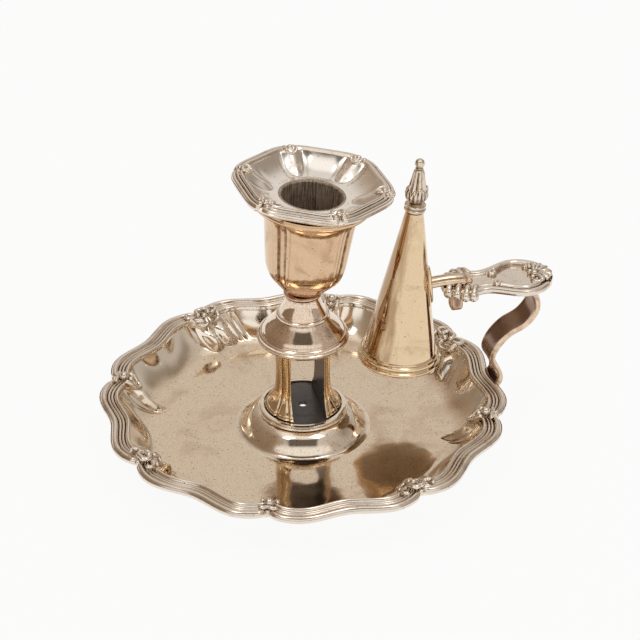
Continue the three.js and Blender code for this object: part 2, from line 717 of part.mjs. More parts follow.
function thumbPieces() {
  const right = thumbEdge(thumbStart, thumbEnd, thumbEdgeSteps);
  const left = right.slice(0, -1).reverse().map(([x, y]) => [x, -y]);
  const slotLength = tangThickness + 2 * tangClearance;
  const slot = new THREE.BoxGeometry(slotLength, tangWidth + 2 * tangClearance, 3 * thumbSheet);
  const plate = solid(raised(outline([...right, ...left]), thumbSheet).translate(0, 0, thumbHeight))
    .subtract(solid(slot).translate([tangAt, 0, thumbHeight]));
  const pieces = [named('thumb_plate', plate, border)];
  for (const [side, sign] of [['right', 1], ['left', -1]]) {
    const shellStart = thumbEnd - thumbShellLength;
    pieces.push(thumbReed(`thumb_reed_inner_${side}`, thumbFlareAt, thumbReedJoin - seatGap, sign));
    pieces.push(thumbReed(`thumb_reed_outer_${side}`, thumbReedJoin, shellStart - seatGap, sign));
    pieces.push(knucklePiece(`thumb_scroll_${side}`, sign));
  }
  const shell = ovalPost(thumbShellLength, thumbShellWidth, thumbShellHeight, thumbShellFlutes)
    .translate([thumbEnd - thumbShellLength / 2, 0, thumbTop + seatGap]);
  pieces.push(named('thumb_shell', shell, border));
  return pieces;
}

// A row of rounded knuckles along the slanting edge of the thumbpiece's flared start.
function knucklePiece(name, sign) {
  const flare = new THREE.Vector2(thumbFlareRun, thumbFlareHalfWidth - thumbStartHalfWidth);
  const pitch = flare.length() / knuckleCount;
  const profile = [[0, 0]];
  for (let i = 0; i < knuckleCount; i += 1) {
    for (const [across, along] of [[0.6, 0.08], [1, 0.32], [1, 0.68], [0.6, 0.92]]) {
      profile.push([across * knuckleRadius, (i + along) * pitch]);
    }
  }
  profile.push([0, knuckleCount * pitch]);
  const roll = solid(turned(profile, knuckleSteps))
    .rotate([0, 90, 0])
    .translate([0, knuckleRadius + seatGap, 0])
    .rotate([0, 0, flare.angle() / degree])
    .translate([thumbStart, thumbStartHalfWidth, thumbHeight + thumbSheet / 2]);
  return named(name, sign < 0 ? roll : roll.mirror([0, 1, 0]), border);
}

// Extinguisher, in a frame whose Z is the cone's axis and whose origin is in the middle of its mouth
function coneRadius(height) {
  return THREE.MathUtils.lerp(coneBaseRadius, coneTopRadius, height / coneHeight);
}

const coneHalfAngle = Math.atan2(coneBaseRadius - coneTopRadius, coneHeight);

function conePieces() {
  const roof = coneHeight - coneSheet;
  const cone = [
    [coneBaseRadius, 0], [coneTopRadius, coneHeight], [0, coneHeight],
    [0, roof], [coneRadius(roof) - coneSheet, roof], [coneBaseRadius - coneSheet, 0], [coneBaseRadius, 0],
  ];
  const bead = [[0, 0], [0.6, 0], [1, 0.25], [0.4, 0.5], [0.8, 0.75], [0.2, 1], [0, 1], [0, 0]]
    .map(([across, up]) => {
      const height = up * coneBeadHeight;
      return [coneRadius(height) + seatGap + across * coneBeadWidth, height];
    });
  return [
    named('extinguisher_cone', solid(turned(cone)), gilded),
    named('extinguisher_bead', solid(turned(bead)), gilded),
    ...finialPieces(),
    lugPiece(),
  ];
}

function finialPieces() {
  const base = coneHeight + seatGap;
  const at = (share) => base + share * finialCollarHeight;
  const collar = [
    [0, base], [coneTopRadius, base], [finialCollarRadius, at(0.2)], [finialCollarRadius, at(0.4)],
    [0.84 * finialCollarRadius, at(0.5)], [0.95 * finialCollarRadius, at(0.65)],
    [0.95 * finialCollarRadius, at(0.8)], [0.6 * finialCollarRadius, at(1)], [0, at(1)],
  ];
  const budBase = at(1) + seatGap;
  const bud = [
    [0, 0], [0.5, 0], [0.85, 0.1], [1, 0.3], [0.9, 0.45],
    [0.66, 0.62], [0.5, 0.8], [0.4, 0.92], [0.28, 1], [0, 1],
  ].map(([radius, height]) => [radius * budRadius, budBase + height * budHeight]);
  const leaves = reshaped(turned(bud, 2 * budLeaves), (radius, angle) => (
    radius * (1 - budFluteDepth * sectorOffset(angle, budLeaves))
  ));
  const ball = new THREE.SphereGeometry(ballRadius, smallSteps, smallSteps / 2).rotateX(Math.PI / 2);
  const ballHeight = budBase + budHeight + seatGap + ballRadius;
  return [
    named('finial_collar', solid(turned(collar, smallSteps)), gilded),
    named('finial_bud', solid(leaves), silver),
    named('finial_ball', solid(ball).translate([0, 0, ballHeight]), silver),
  ];
}

// The lug lies flat against the cone at the hook's height, on the side that faces the handle.
const hookBase = thumbTop + seatGap;
const hookMiddle = hookBase + hookThickness / 2;
const lugAt = (hookMiddle - coneZ) / Math.cos(coneLean);

function lugPiece() {
  const oval = new THREE.Shape().absellipse(0, 0, lugHeight / 2, lugWidth / 2, 0, 2 * Math.PI);
  const plate = solid(raised(oval, lugThickness))
    .rotate([0, 90 - coneHalfAngle / degree, 0])
    .translate([coneRadius(lugAt) + seatGap / Math.cos(coneHalfAngle), 0, lugAt]);
  return named('hook_plate', plate, gilded);
}

// The hook runs from the lug over the thumbpiece's end, and its tang drops through the slot there.
function hookPiece() {
  const axisX = coneX + lugAt * Math.sin(coneLean);
  const face = coneRadius(lugAt) + seatGap + lugThickness;
  const start = axisX + (face + seatGap) / Math.cos(coneLean) + hookThickness * Math.tan(coneHalfAngle);
  const end = tangAt + tangThickness / 2 + hookOverhang;
  const bar = new THREE.BoxGeometry(end - start, hookWidth, hookThickness);
  const tangHeight = tangLength + hookThickness / 2;
  const tang = new THREE.BoxGeometry(tangThickness, tangWidth, tangHeight);
  const hook = solid(bar).translate([(start + end) / 2, 0, hookMiddle])
    .add(solid(tang).translate([tangAt, 0, hookMiddle - tangHeight / 2]));
  return named('hook_bar', hook, gilded);
}

const chamberstick = new THREE.Group();
chamberstick.add(...trayPieces(), footPiece(), footRingPiece(), slotFloorPiece(), ...cheekPieces());
chamberstick.add(...flangePieces(), collarPiece(), strapPiece(), ...thumbPieces(), hookPiece());

const leaning = new THREE.Group();
leaning.position.z = neckTop + seatGap + collarHeight;
leaning.rotation.y = socketLean;
leaning.add(socketPiece(), ...nozzlePieces());

const extinguisher = new THREE.Group();
extinguisher.position.set(coneX, 0, coneZ);
extinguisher.rotation.y = coneLean;
extinguisher.add(...conePieces());

chamberstick.add(leaning, extinguisher);
export default chamberstick;
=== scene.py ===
import json
import math

import bmesh
import bpy
import numpy as np
from mathutils import Matrix, Vector


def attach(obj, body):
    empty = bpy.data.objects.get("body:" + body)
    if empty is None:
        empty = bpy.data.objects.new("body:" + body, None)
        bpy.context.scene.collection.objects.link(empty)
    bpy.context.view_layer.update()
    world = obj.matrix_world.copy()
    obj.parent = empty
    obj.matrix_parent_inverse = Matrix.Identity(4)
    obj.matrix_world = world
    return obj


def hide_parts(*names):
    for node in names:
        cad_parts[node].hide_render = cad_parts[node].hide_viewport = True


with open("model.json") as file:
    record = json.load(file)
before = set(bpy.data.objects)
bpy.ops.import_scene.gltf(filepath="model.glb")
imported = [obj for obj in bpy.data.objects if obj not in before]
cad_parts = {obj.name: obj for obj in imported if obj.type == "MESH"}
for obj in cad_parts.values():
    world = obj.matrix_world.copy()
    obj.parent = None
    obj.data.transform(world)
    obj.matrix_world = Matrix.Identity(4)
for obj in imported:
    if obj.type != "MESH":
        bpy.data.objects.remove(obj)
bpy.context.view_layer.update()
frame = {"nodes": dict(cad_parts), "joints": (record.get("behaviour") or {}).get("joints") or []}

mm = 0.001  # lengths in this script are millimetres, and meshes are made in metres
scene = bpy.context.scene
scene.view_settings.view_transform = "Standard"
print("frame loaded with", len(frame["nodes"]), "nodes")


# Measuring the frame

def nodePoints(node, place=None):
    mesh = frame["nodes"][node].data
    points = np.empty(3 * len(mesh.vertices))
    mesh.vertices.foreach_get("co", points)
    points = points.reshape(-1, 3) / mm
    return points if place is None else moved(points, place.inverted())


def span(node, place=None):  # lowest and highest corner, in the frame of a place if one is given
    points = nodePoints(node, place)
    return points.min(0), points.max(0)


def radii(node, place=None):  # smallest and largest distance from the place's Z axis
    points = nodePoints(node, place)
    across = np.hypot(points[:, 0], points[:, 1])
    return across.min(), across.max()


def reachAt(node, heading, place=None):
    points = nodePoints(node, place)
    away = np.degrees(np.arctan2(points[:, 1], points[:, 0])) - heading
    near = np.abs((away + 180) % 360 - 180) < 1.5
    return np.hypot(points[near, 0], points[near, 1]).max()


def moved(points, place):
    turn = np.array(place)
    return np.asarray(points) @ turn[:3, :3].T + turn[:3, 3]


# Lines and curves

def mix(a, b, share):
    return a + (b - a) * share


def eased(value, low, high):
    share = np.clip((value - low) / (high - low), 0, 1)
    return share * share * (3 - 2 * share)


def fullTurn(steps):
    return np.linspace(0, 2 * math.pi, steps, endpoint=False)


def headings(path):  # the direction at each point of a path
    ahead = np.gradient(path, axis=0)
    return ahead / np.linalg.norm(ahead, axis=1)[:, None]


widest = 9  # a fillet's radius that takes up all the room there is


def filleted(corners, steps=5):  # corners are (x, y, radius)
    line = []
    for i, (x, y, radius) in enumerate(corners):
        here = np.array((x, y), float)
        if radius == 0 or i == 0 or i == len(corners) - 1:
            line.append(here)
            continue
        toBefore = np.array(corners[i - 1][:2]) - here
        toAfter = np.array(corners[i + 1][:2]) - here
        before, after = np.linalg.norm(toBefore), np.linalg.norm(toAfter)
        cosine = np.clip(toBefore @ toAfter / (before * after), -0.999, 0.999)
        room = min(radius / math.tan(math.acos(cosine) / 2), 0.48 * before, 0.48 * after)
        start, end = here + toBefore * room / before, here + toAfter * room / after
        for share in np.linspace(0, 1, steps):
            line.append(mix(mix(start, here, share), mix(here, end, share), share))
    return np.array(line)


def smoothLine(points, stepsEach=8):  # a Catmull-Rom curve through the points
    points = np.asarray(points, float)
    ends = np.vstack((2 * points[0] - points[1], points, 2 * points[-1] - points[-2]))
    share = np.linspace(0, 1, stepsEach, endpoint=False)[:, None]
    line = []
    for a, b, c, d in zip(ends, ends[1:], ends[2:], ends[3:]):
        line.append(0.5 * (2 * b + (c - a) * share + (2 * a - 5 * b + 4 * c - d) * share ** 2
                           + (3 * b - a - 3 * c + d) * share ** 3))
    return np.vstack(line + [points[-1:]])


def resampled(path, step):  # the same path with evenly spaced points
    path = np.asarray(path, float)
    along = np.concatenate(([0], np.cumsum(np.linalg.norm(np.diff(path, axis=0), axis=1))))
    places = np.linspace(0, along[-1], max(4, int(along[-1] / step) + 1))
    return np.stack([np.interp(places, along, path[:, k]) for k in range(path.shape[1])], 1), places


def spiralLine(centre, outer, inner, turns, start, steps=48):
    share = np.linspace(0, 1, steps)
    radius = mix(outer, inner, share ** 0.8)
    angle = start + turns * 2 * math.pi * share
    return np.stack((centre[0] + radius * np.cos(angle), centre[1] + radius * np.sin(angle)), 1)


# Meshes: a form is a pair of points and faces

def gridFaces(rows, columns, wrapRows=False, wrapColumns=False):
    faces = []
    for i in range(rows if wrapRows else rows - 1):
        for j in range(columns if wrapColumns else columns - 1):
            nextRow, nextColumn = (i + 1) % rows, (j + 1) % columns
            faces.append((i * columns + j, i * columns + nextColumn,
                          nextRow * columns + nextColumn, nextRow * columns + j))
    return faces


def turnedForm(line, steps=128, reshape=None):  # a closed line, or one from axis to axis, turned about Z
    line = np.asarray(line, float)
    closed = np.allclose(line[0], line[-1])
    line = line[:-1] if closed else line
    angle = fullTurn(steps)[None, :]
    radius = np.repeat(line[:, :1], steps, 1)
    height = np.repeat(line[:, 1:], steps, 1)
    if reshape:
        radius, height = reshape(radius, angle, height)
    points = np.stack((radius * np.cos(angle), radius * np.sin(angle), height), -1)
    return points.reshape(-1, 3), gridFaces(len(line), steps, closed, True)


def sweptForm(rings):  # closed sections joined in a row, with a face at each end
    rings = np.asarray(rings)
    count, around = rings.shape[:2]
    faces = gridFaces(count, around, False, True)
    faces += [tuple(range(around - 1, -1, -1)), tuple(range((count - 1) * around, count * around))]
    return rings.reshape(-1, 3), faces


def tubeForm(path, startRadius, endRadius, sides=10, step=0.25):  # a bar with round ends
    path, along = resampled(path, step)
    tangent = headings(path)
    radius = mix(startRadius, endRadius, along / along[-1])
    toEnd = np.minimum(along, along[-1] - along)
    radius = radius * np.sqrt(np.clip(1 - (1 - np.minimum(toEnd / radius, 1)) ** 2, 0.004, 1))
    up = np.array((0.0, 0.0, 1.0)) if abs(tangent[0][2]) < 0.9 else np.array((1.0, 0.0, 0.0))
    turn = fullTurn(sides)
    rings = []
    for place, ahead, size in zip(path, tangent, radius):
        up = up - ahead * (up @ ahead)
        up = up / np.linalg.norm(up)
        side = np.cross(ahead, up)
        rings.append(place + size * (np.cos(turn)[:, None] * side + np.sin(turn)[:, None] * up))
    return sweptForm(rings)


def ballForm(centre, size, steps=18):
    turn = np.linspace(-math.pi / 2, math.pi / 2, steps // 2 + 1)
    points, faces = turnedForm(np.stack((np.cos(turn), np.sin(turn)), 1), steps)
    return points * size + np.asarray(centre), faces


def joined(forms):
    points, faces, count = [], [], 0
    for formPoints, formFaces in forms:
        points.append(formPoints)
        faces += [tuple(count + k for k in face) for face in formFaces]
        count += len(formPoints)
    return np.vstack(points), faces


def markBends(mesh):  # how sharply each point is bent, per millimetre: hollows above 0, edges below
    count = len(mesh.vertices)
    places, normals = np.empty(3 * count), np.empty(3 * count)
    mesh.vertices.foreach_get("co", places)
    mesh.vertices.foreach_get("normal", normals)
    places, normals = places.reshape(-1, 3) / mm, normals.reshape(-1, 3)
    ends = np.empty(2 * len(mesh.edges), np.int64)
    mesh.edges.foreach_get("vertices", ends)
    a, b = ends.reshape(-1, 2).T
    step = places[b] - places[a]
    square = np.maximum((step ** 2).sum(1), 0.01)
    atA = 2 * (step * normals[a]).sum(1) / square
    atB = -2 * (step * normals[b]).sum(1) / square
    valence = np.maximum(np.bincount(a, minlength=count) + np.bincount(b, minlength=count), 1)
    bend = (np.bincount(a, atA, count) + np.bincount(b, atB, count)) / valence
    for _ in range(3):
        around = np.bincount(a, bend[b], count) + np.bincount(b, bend[a], count)
        bend = 0.5 * bend + 0.5 * around / valence
    mesh.attributes.new("bend", "FLOAT", "POINT").data.foreach_set("value", bend.astype(np.float32))


crease = {"formed": 48, "cast": 80}  # bends above this, in degrees, stay sharp


def finishMesh(mesh, kind):
    mesh.shade_smooth()
    mesh.set_sharp_from_angle(angle=math.radians(crease[kind]))
    markBends(mesh)


def makePiece(name, form, place=None):
    points, faces = form
    points = points if place is None else moved(points, place)
    mesh = bpy.data.meshes.new(name)
    mesh.from_pydata((np.asarray(points) * mm).tolist(), [], faces)
    tidy = bmesh.new()
    tidy.from_mesh(mesh)
    bmesh.ops.remove_doubles(tidy, verts=tidy.verts, dist=0.002 * mm)
    bmesh.ops.recalc_face_normals(tidy, faces=tidy.faces)
    tidy.to_mesh(mesh)
    tidy.free()
    finishMesh(mesh, "formed")
    piece = bpy.data.objects.new(name, mesh)
    scene.collection.objects.link(piece)
    return piece


def bakeModifiers(piece, kind):
    shaped = piece.evaluated_get(bpy.context.evaluated_depsgraph_get())
    mesh = bpy.data.meshes.new_from_object(shaped)
    piece.modifiers.clear()
    piece.data = mesh
    if "bend" in mesh.attributes:
        mesh.attributes.remove(mesh.attributes["bend"])
    finishMesh(mesh, kind)


def castPiece(name, forms, voxel=0.17, place=None, worn=2):  # forms run together like a casting
    piece = makePiece(name, joined(forms), place)
    fuse = piece.modifiers.new("fuse", "REMESH")
    fuse.mode = "VOXEL"
    fuse.voxel_size = voxel * mm
    soften = piece.modifiers.new("soften", "SMOOTH")
    soften.factor = 0.5
    soften.iterations = worn
    bakeModifiers(piece, "cast")
    return piece


def turnedCopy(piece, name, heading):  # the same mesh turned about the stem
    mesh = piece.data.copy()
    mesh.name = name
    mesh.transform(Matrix.Rotation(math.radians(heading), 4, "Z"))
    copy = bpy.data.objects.new(name, mesh)
    scene.collection.objects.link(copy)
    return copy


def dress(piece, body, slot, material, *nodes):
    piece.data.materials.clear()
    piece.data.materials.append(material)
    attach(piece, body)
    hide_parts(*nodes)


def repaint(piece, material, chosen):  # a second material on faces chosen by middle and normal
    piece.data.materials.append(material)
    for face in piece.data.polygons:
        if chosen(face.center / mm, face.normal):
            face.material_index = 1


# Shader nodes

def put(tree, kind, inputs=None, **settings):
    node = tree.nodes.new(kind)
    for key, value in settings.items():
        setattr(node, key, value)
    for key, value in (inputs or {}).items():
        if isinstance(value, bpy.types.NodeSocket):
            tree.links.new(value, node.inputs[key])
        else:
            node.inputs[key].default_value = value
    return node


def calc(tree, operation, a, b=0.0):
    return put(tree, "ShaderNodeMath", {0: a, 1: b}, operation=operation).outputs[0]


def ranged(tree, value, low, high, toLow=0.0, toHigh=1.0):
    inputs = {"Value": value, "From Min": low, "From Max": high, "To Min": toLow, "To Max": toHigh}
    return put(tree, "ShaderNodeMapRange", inputs, interpolation_type="SMOOTHSTEP").outputs["Result"]


def blended(tree, share, first, second):
    return put(tree, "ShaderNodeMix", {0: share, 6: first, 7: second}, data_type="RGBA").outputs[2]


def newGroup(name, inputs, outputs):
    group = bpy.data.node_groups.new(name, "ShaderNodeTree")
    for label, value in inputs.items():
        socket = group.interface.new_socket(label, in_out="INPUT", socket_type="NodeSocketFloat")
        socket.default_value = value
    for label in outputs:
        group.interface.new_socket(label, in_out="OUTPUT", socket_type="NodeSocketFloat")
    return group, group.nodes.new("NodeGroupInput").outputs, group.nodes.new("NodeGroupOutput").inputs


def places(tree, size, stretch=(1, 1, 1), turn=(0, 0, 0)):  # object places, in units of a size in mm
    coordinates = put(tree, "ShaderNodeTexCoord").outputs["Object"]
    scale = put(tree, "ShaderNodeVectorMath", {0: coordinates}, operation="SCALE")
    tree.links.new(calc(tree, "DIVIDE", 1 / mm, size), scale.inputs["Scale"])
    inputs = {"Vector": scale.outputs[0], "Rotation": turn, "Scale": stretch}
    return put(tree, "ShaderNodeMapping", inputs, vector_type="TEXTURE").outputs[0]


def noise(tree, vector, detail=4.0, roughness=0.55, distortion=0.0):
    inputs = {"Vector": vector, "Scale": 1.0, "Detail": detail, "Roughness": roughness,
              "Distortion": distortion}
    return put(tree, "ShaderNodeTexNoise", inputs).outputs[0]


def tarnishGroup():  # soft clouds of tarnish
    group, given, result = newGroup("tarnish clouds", {"Size": 14.0, "Cover": 0.5}, ["Mask"])
    cloud = noise(group, places(group, given["Size"]), 7, 0.62, 0.6)
    low = calc(group, "SUBTRACT", 0.72, calc(group, "MULTIPLY", given["Cover"], 0.42))
    group.links.new(ranged(group, cloud, low, calc(group, "ADD", low, 0.22)), result["Mask"])
    return group


def speckleGroup():  # fine dark pits, and a finer grain between them
    group, given, result = newGroup("speckle", {"Size": 1.2, "Cover": 0.5}, ["Pits", "Grain"])
    cells = put(group, "ShaderNodeTexVoronoi", {"Vector": places(group, given["Size"]), "Scale": 1.0})
    chance = put(group, "ShaderNodeSeparateColor", {0: cells.outputs["Color"]}).outputs[0]
    present = ranged(group, chance, calc(group, "SUBTRACT", 1.0, given["Cover"]), 1.0)
    dot = ranged(group, cells.outputs["Distance"], 0.1, 0.34, 1.0, 0.0)
    group.links.new(calc(group, "MULTIPLY", dot, present), result["Pits"])
    fine = noise(group, places(group, calc(group, "MULTIPLY", given["Size"], 0.55)), 3, 0.7)
    group.links.new(ranged(group, fine, 0.3, 0.72), result["Grain"])
    return group


def scratchGroup():  # hairlines left by polishing, in two directions
    group, given, result = newGroup("polish hairlines", {"Size": 0.5, "Cover": 0.4}, ["Lines"])
    lines = []
    for turn in ((0.2, 0.1, 0.5), (1.1, 0.4, -0.9)):
        streak = noise(group, places(group, given["Size"], (26, 1, 1), turn), 2, 0.5)
        low = calc(group, "SUBTRACT", 0.78, calc(group, "MULTIPLY", given["Cover"], 0.25))
        lines.append(ranged(group, streak, low, calc(group, "ADD", low, 0.08)))
    group.links.new(calc(group, "MAXIMUM", lines[0], lines[1]), result["Lines"])
    return group


def bendGroup():  # where dirt stays in hollows, and where edges are rubbed
    group, given, result = newGroup("bends", {"Hollow": 0.6, "Edge": 0.6}, ["Hollow", "Edge"])
    bend = put(group, "ShaderNodeAttribute", attribute_name="bend").outputs["Fac"]
    patch = ranged(group, noise(group, places(group, 2.4), 4, 0.6), 0.25, 0.7, 0.35, 1.0)
    hollow = ranged(group, bend, 0.02, given["Hollow"])
    outward = calc(group, "MULTIPLY", bend, -1.0)
    edge = ranged(group, outward, calc(group, "MULTIPLY", given["Edge"], 0.35), given["Edge"])
    group.links.new(calc(group, "MULTIPLY", hollow, patch), result["Hollow"])
    group.links.new(calc(group, "MULTIPLY", edge, patch), result["Edge"])
    return group


tarnish, speckle, hairlines, bends = tarnishGroup(), speckleGroup(), scratchGroup(), bendGroup()


def effect(tree, group, **values):
    return put(tree, "ShaderNodeGroup", values, node_tree=group).outputs


def dotted(tree, vector, axis):
    return put(tree, "ShaderNodeVectorMath", {0: vector, 1: axis}, operation="DOT_PRODUCT").outputs["Value"]


def agedMetal(name, look):
    material = bpy.data.materials.new(name)
    material.use_nodes = True
    tree = material.node_tree
    tree.nodes.clear()
    cloud = effect(tree, tarnish, Size=look["cloudSize"], Cover=look["cloudCover"])["Mask"]
    specks = effect(tree, speckle, Size=look["speckSize"], Cover=look["speckCover"])
    lines = effect(tree, hairlines, Size=look["lineSize"], Cover=look["lineCover"])["Lines"]
    bent = effect(tree, bends, Hollow=look["hollow"], Edge=look["edge"])

    def scaled(mask, key):
        return calc(tree, "MULTIPLY", mask, look[key])
    colour = blended(tree, scaled(cloud, "cloudDepth"), look["colour"], look["tarnish"])
    colour = blended(tree, scaled(specks["Grain"], "grainDepth"), colour, look["tarnish"])
    colour = blended(tree, scaled(specks["Pits"], "pitDepth"), colour, look["dirt"])
    if "streakSize" in look:  # soot and wax run down the walls
        streak = noise(tree, places(tree, look["streakSize"], (1, 1, 14)), 4, 0.6)
        streak = ranged(tree, streak, 0.42, 0.66, 0.0, look["streakDepth"])
        colour = blended(tree, streak, colour, look["dirt"])
    colour = blended(tree, scaled(bent["Edge"], "edgeDepth"), colour, look["rubbed"])
    colour = blended(tree, scaled(bent["Hollow"], "hollowDepth"), colour, look["dirt"])
    if "upperTint" in look:  # the colour turns lighter with height, towards a paler tone
        height = put(tree, "ShaderNodeSeparateXYZ", {0: places(tree, 1.0)}).outputs[2]
        upper = ranged(tree, height, *look["upperTintFrom"], 0.0, 0.8)
        colour = blended(tree, upper, colour, look["upperTint"])
    if "paintedShade" in look:  # painted shade: the side that faces one direction is blended to a darker brown, with streaks, for the darker reflection that side shows
        facing = dotted(tree, put(tree, "ShaderNodeTexCoord").outputs["Normal"], look["paintedShadeSide"])
        streak = noise(tree, places(tree, 2.2, (1, 1, 9)), 3, 0.5)
        streak = calc(tree, "MULTIPLY", calc(tree, "SUBTRACT", streak, 0.5), 0.7)
        facing = ranged(tree, calc(tree, "ADD", facing, streak), *look["paintedShadeFrom"], 0.0, 0.85)
        colour = blended(tree, facing, colour, look["paintedShade"])
    rough = look["rough"]
    for mask, key in ((cloud, "cloudRough"), (specks["Grain"], "grainRough"), (bent["Hollow"], "hollowRough"),
                      (lines, "lineRough")):
        rough = calc(tree, "ADD", scaled(mask, key), rough)
    height = scaled(noise(tree, places(tree, look["waveSize"]), 2, 0.45), "waveHeight")
    height = calc(tree, "SUBTRACT", height, scaled(specks["Pits"], "pitHeight"))
    height = calc(tree, "SUBTRACT", height, scaled(lines, "lineHeight"))
    bump = put(tree, "ShaderNodeBump", {"Height": height, "Strength": 1.0, "Distance": mm})
    inputs = {"Base Color": colour, "Roughness": rough, "Normal": bump.outputs[0],
              "Metallic": look["metallic"]}
    shader = put(tree, "ShaderNodeBsdfPrincipled", inputs)
    output = put(tree, "ShaderNodeOutputMaterial")
    tree.links.new(shader.outputs[0], output.inputs["Surface"])
    return material


silverLook = {
    "colour": (0.86, 0.725, 0.565, 1), "tarnish": (0.60, 0.45, 0.31, 1), "dirt": (0.075, 0.05, 0.034, 1),
    "rubbed": (0.93, 0.86, 0.76, 1), "metallic": 1.0,
    "cloudSize": 16.0, "cloudCover": 0.5, "cloudDepth": 0.55, "cloudRough": 0.05,
    "speckSize": 1.0, "speckCover": 0.5, "grainDepth": 0.7, "pitDepth": 0.8, "grainRough": 0.05,
    "lineSize": 0.5, "lineCover": 0.35, "lineHeight": 0.0012, "lineRough": 0.06,
    "hollow": 0.9, "edge": 1.2, "hollowDepth": 0.85, "edgeDepth": 0.5, "hollowRough": 0.25,
    "rough": 0.07, "waveSize": 20.0, "waveHeight": 0.6, "pitHeight": 0.004,
}
# the tray's wall turns lighter from 4 to 10 mm high
trayLook = dict(silverLook, cloudCover=0.55, cloudDepth=0.72, upperTint=(0.95, 0.88, 0.77, 1),
                upperTintFrom=(4.0, 10.0))
borderLook = dict(silverLook, colour=(0.85, 0.76, 0.66, 1), tarnish=(0.46, 0.34, 0.25, 1), cloudSize=7.0,
                  cloudDepth=0.65, speckCover=0.1, grainDepth=0.3, hollow=0.45, rough=0.11, waveSize=5.0,
                  waveHeight=0.03, hollowDepth=0.96, grainRough=0.04)
stemLook = dict(silverLook, grainDepth=0.25, speckCover=0.15, rough=0.06, grainRough=0.03, cloudDepth=0.6,
                colour=(0.89, 0.79, 0.66, 1), tarnish=(0.56, 0.41, 0.28, 1), hollow=0.5, cloudSize=9.0,
                waveHeight=0.06, waveSize=16.0)
flangeLook = dict(stemLook, colour=(0.92, 0.76, 0.61, 1), tarnish=(0.46, 0.32, 0.21, 1), cloudSize=6.0,
                  speckCover=0.4, grainDepth=0.6, grainRough=0.05)
panLook = dict(stemLook, colour=(0.97, 0.91, 0.84, 1), tarnish=(0.82, 0.71, 0.61, 1), cloudDepth=0.5,
               rough=0.12)
footLook = dict(stemLook, colour=(0.91, 0.81, 0.68, 1), tarnish=(0.63, 0.48, 0.34, 1), speckCover=0.45,
                grainDepth=0.6, grainRough=0.05)
giltLook = dict(stemLook, colour=(0.82, 0.635, 0.41, 1), tarnish=(0.50, 0.32, 0.18, 1),
                rubbed=(0.90, 0.70, 0.52, 1), dirt=(0.10, 0.05, 0.028, 1), cloudSize=11.0, cloudCover=0.5,
                speckCover=0.14, rough=0.08)
# painted shade: the cone's side facing -X, and a little -Y, is painted a darker brown
coneLook = dict(giltLook, paintedShade=(0.40, 0.25, 0.14, 1), paintedShadeSide=(-0.94, -0.34, 0),
                paintedShadeFrom=(0.58, 0.95))
cupLook = dict(giltLook, colour=(0.74, 0.525, 0.335, 1), tarnish=(0.46, 0.27, 0.15, 1), cloudCover=0.55,
               hollow=0.3, cloudDepth=0.7)
copperLook = dict(giltLook, colour=(0.72, 0.49, 0.37, 1), tarnish=(0.36, 0.23, 0.16, 1), cloudCover=0.6,
                  cloudDepth=0.75, rough=0.15, rubbed=(0.85, 0.58, 0.43, 1), edge=0.9)
strapLook = dict(copperLook, colour=(0.30, 0.18, 0.12, 1), tarnish=(0.17, 0.10, 0.07, 1), rough=0.2, edge=0.4,
                 edgeDepth=1.0, rubbed=(0.86, 0.66, 0.48, 1))
hookLook = dict(giltLook, colour=(0.80, 0.65, 0.48, 1), hollow=0.3, hollowDepth=0.95, cloudCover=0.6)
darkLook = dict(borderLook, colour=(0.80, 0.69, 0.56, 1), tarnish=(0.36, 0.27, 0.19, 1), cloudSize=4.0,
                cloudCover=0.6, hollow=0.3, hollowDepth=0.95)
sootyLook = dict(silverLook, colour=(0.13, 0.112, 0.098, 1), tarnish=(0.06, 0.051, 0.044, 1),
                 dirt=(0.02, 0.016, 0.013, 1), rubbed=(0.34, 0.29, 0.24, 1), metallic=0.35, rough=0.30,
                 cloudSize=6.0, cloudCover=0.6, grainDepth=0.6, waveHeight=0.02)
# painted light: the cone's inside is a pale matt colour, to lift the shade inside it
dullLook = dict(sootyLook, colour=(0.93, 0.86, 0.76, 1), tarnish=(0.86, 0.77, 0.66, 1), metallic=0.0,
                rough=0.6, grainDepth=0.2, pitDepth=0.3)
streakLook = dict(sootyLook, colour=(0.60, 0.48, 0.37, 1), tarnish=(0.38, 0.29, 0.21, 1), metallic=0.5,
                  rough=0.4, streakSize=0.55, streakDepth=0.8, dirt=(0.075, 0.055, 0.04, 1))
traySilver = agedMetal("tray_silver", trayLook)
stemSilver = agedMetal("stem_silver", stemLook)
borderSilver = agedMetal("border_silver", borderLook)
darkSilver = agedMetal("dark_silver", darkLook)
wornGilt = agedMetal("worn_gilt", giltLook)
cupGilt = agedMetal("cup_gilt", cupLook)
coneGilt = agedMetal("cone_gilt", coneLook)
panSilver = agedMetal("pan_silver", panLook)
footSilver = agedMetal("foot_silver", footLook)
flangeSilver = agedMetal("flange_silver", flangeLook)
dullInside = agedMetal("dull_inside", dullLook)
hookGilt = agedMetal("hook_gilt", hookLook)
brownCopper = agedMetal("brown_copper", copperLook)
brownStrap = agedMetal("brown_strap", strapLook)
sootyMetal = agedMetal("sooty_metal", sootyLook)
streakedSoot = agedMetal("streaked_soot", streakLook)
print("finishes made")


# Formed sheets, with mouldings and castings along their borders

hump = {"tipRound": 1.2, "tipRun": 3.4, "pillow": 0.6, "side": 1.3}


def humps(reach, aside, strips, start, end=None):  # strips of (aside, half width, height) with round tips
    rise = np.zeros(np.broadcast_shapes(reach.shape, aside.shape))
    for centre, half, height in strips:
        across = np.clip((aside - centre) / half, -1, 1)
        tip = reach - start - hump["tipRound"] * across ** 2
        if end is None:
            along = np.sin(math.pi / 2 * np.clip(tip / hump["tipRun"], 0, 1))
        else:  # a pillow, highest near its tip
            along = np.sin(math.pi * np.clip(tip / (end - start), 0, 1) ** hump["pillow"])
        rise = np.maximum(rise, height * np.cos(math.pi / 2 * across) ** hump["side"] * along)
    return rise


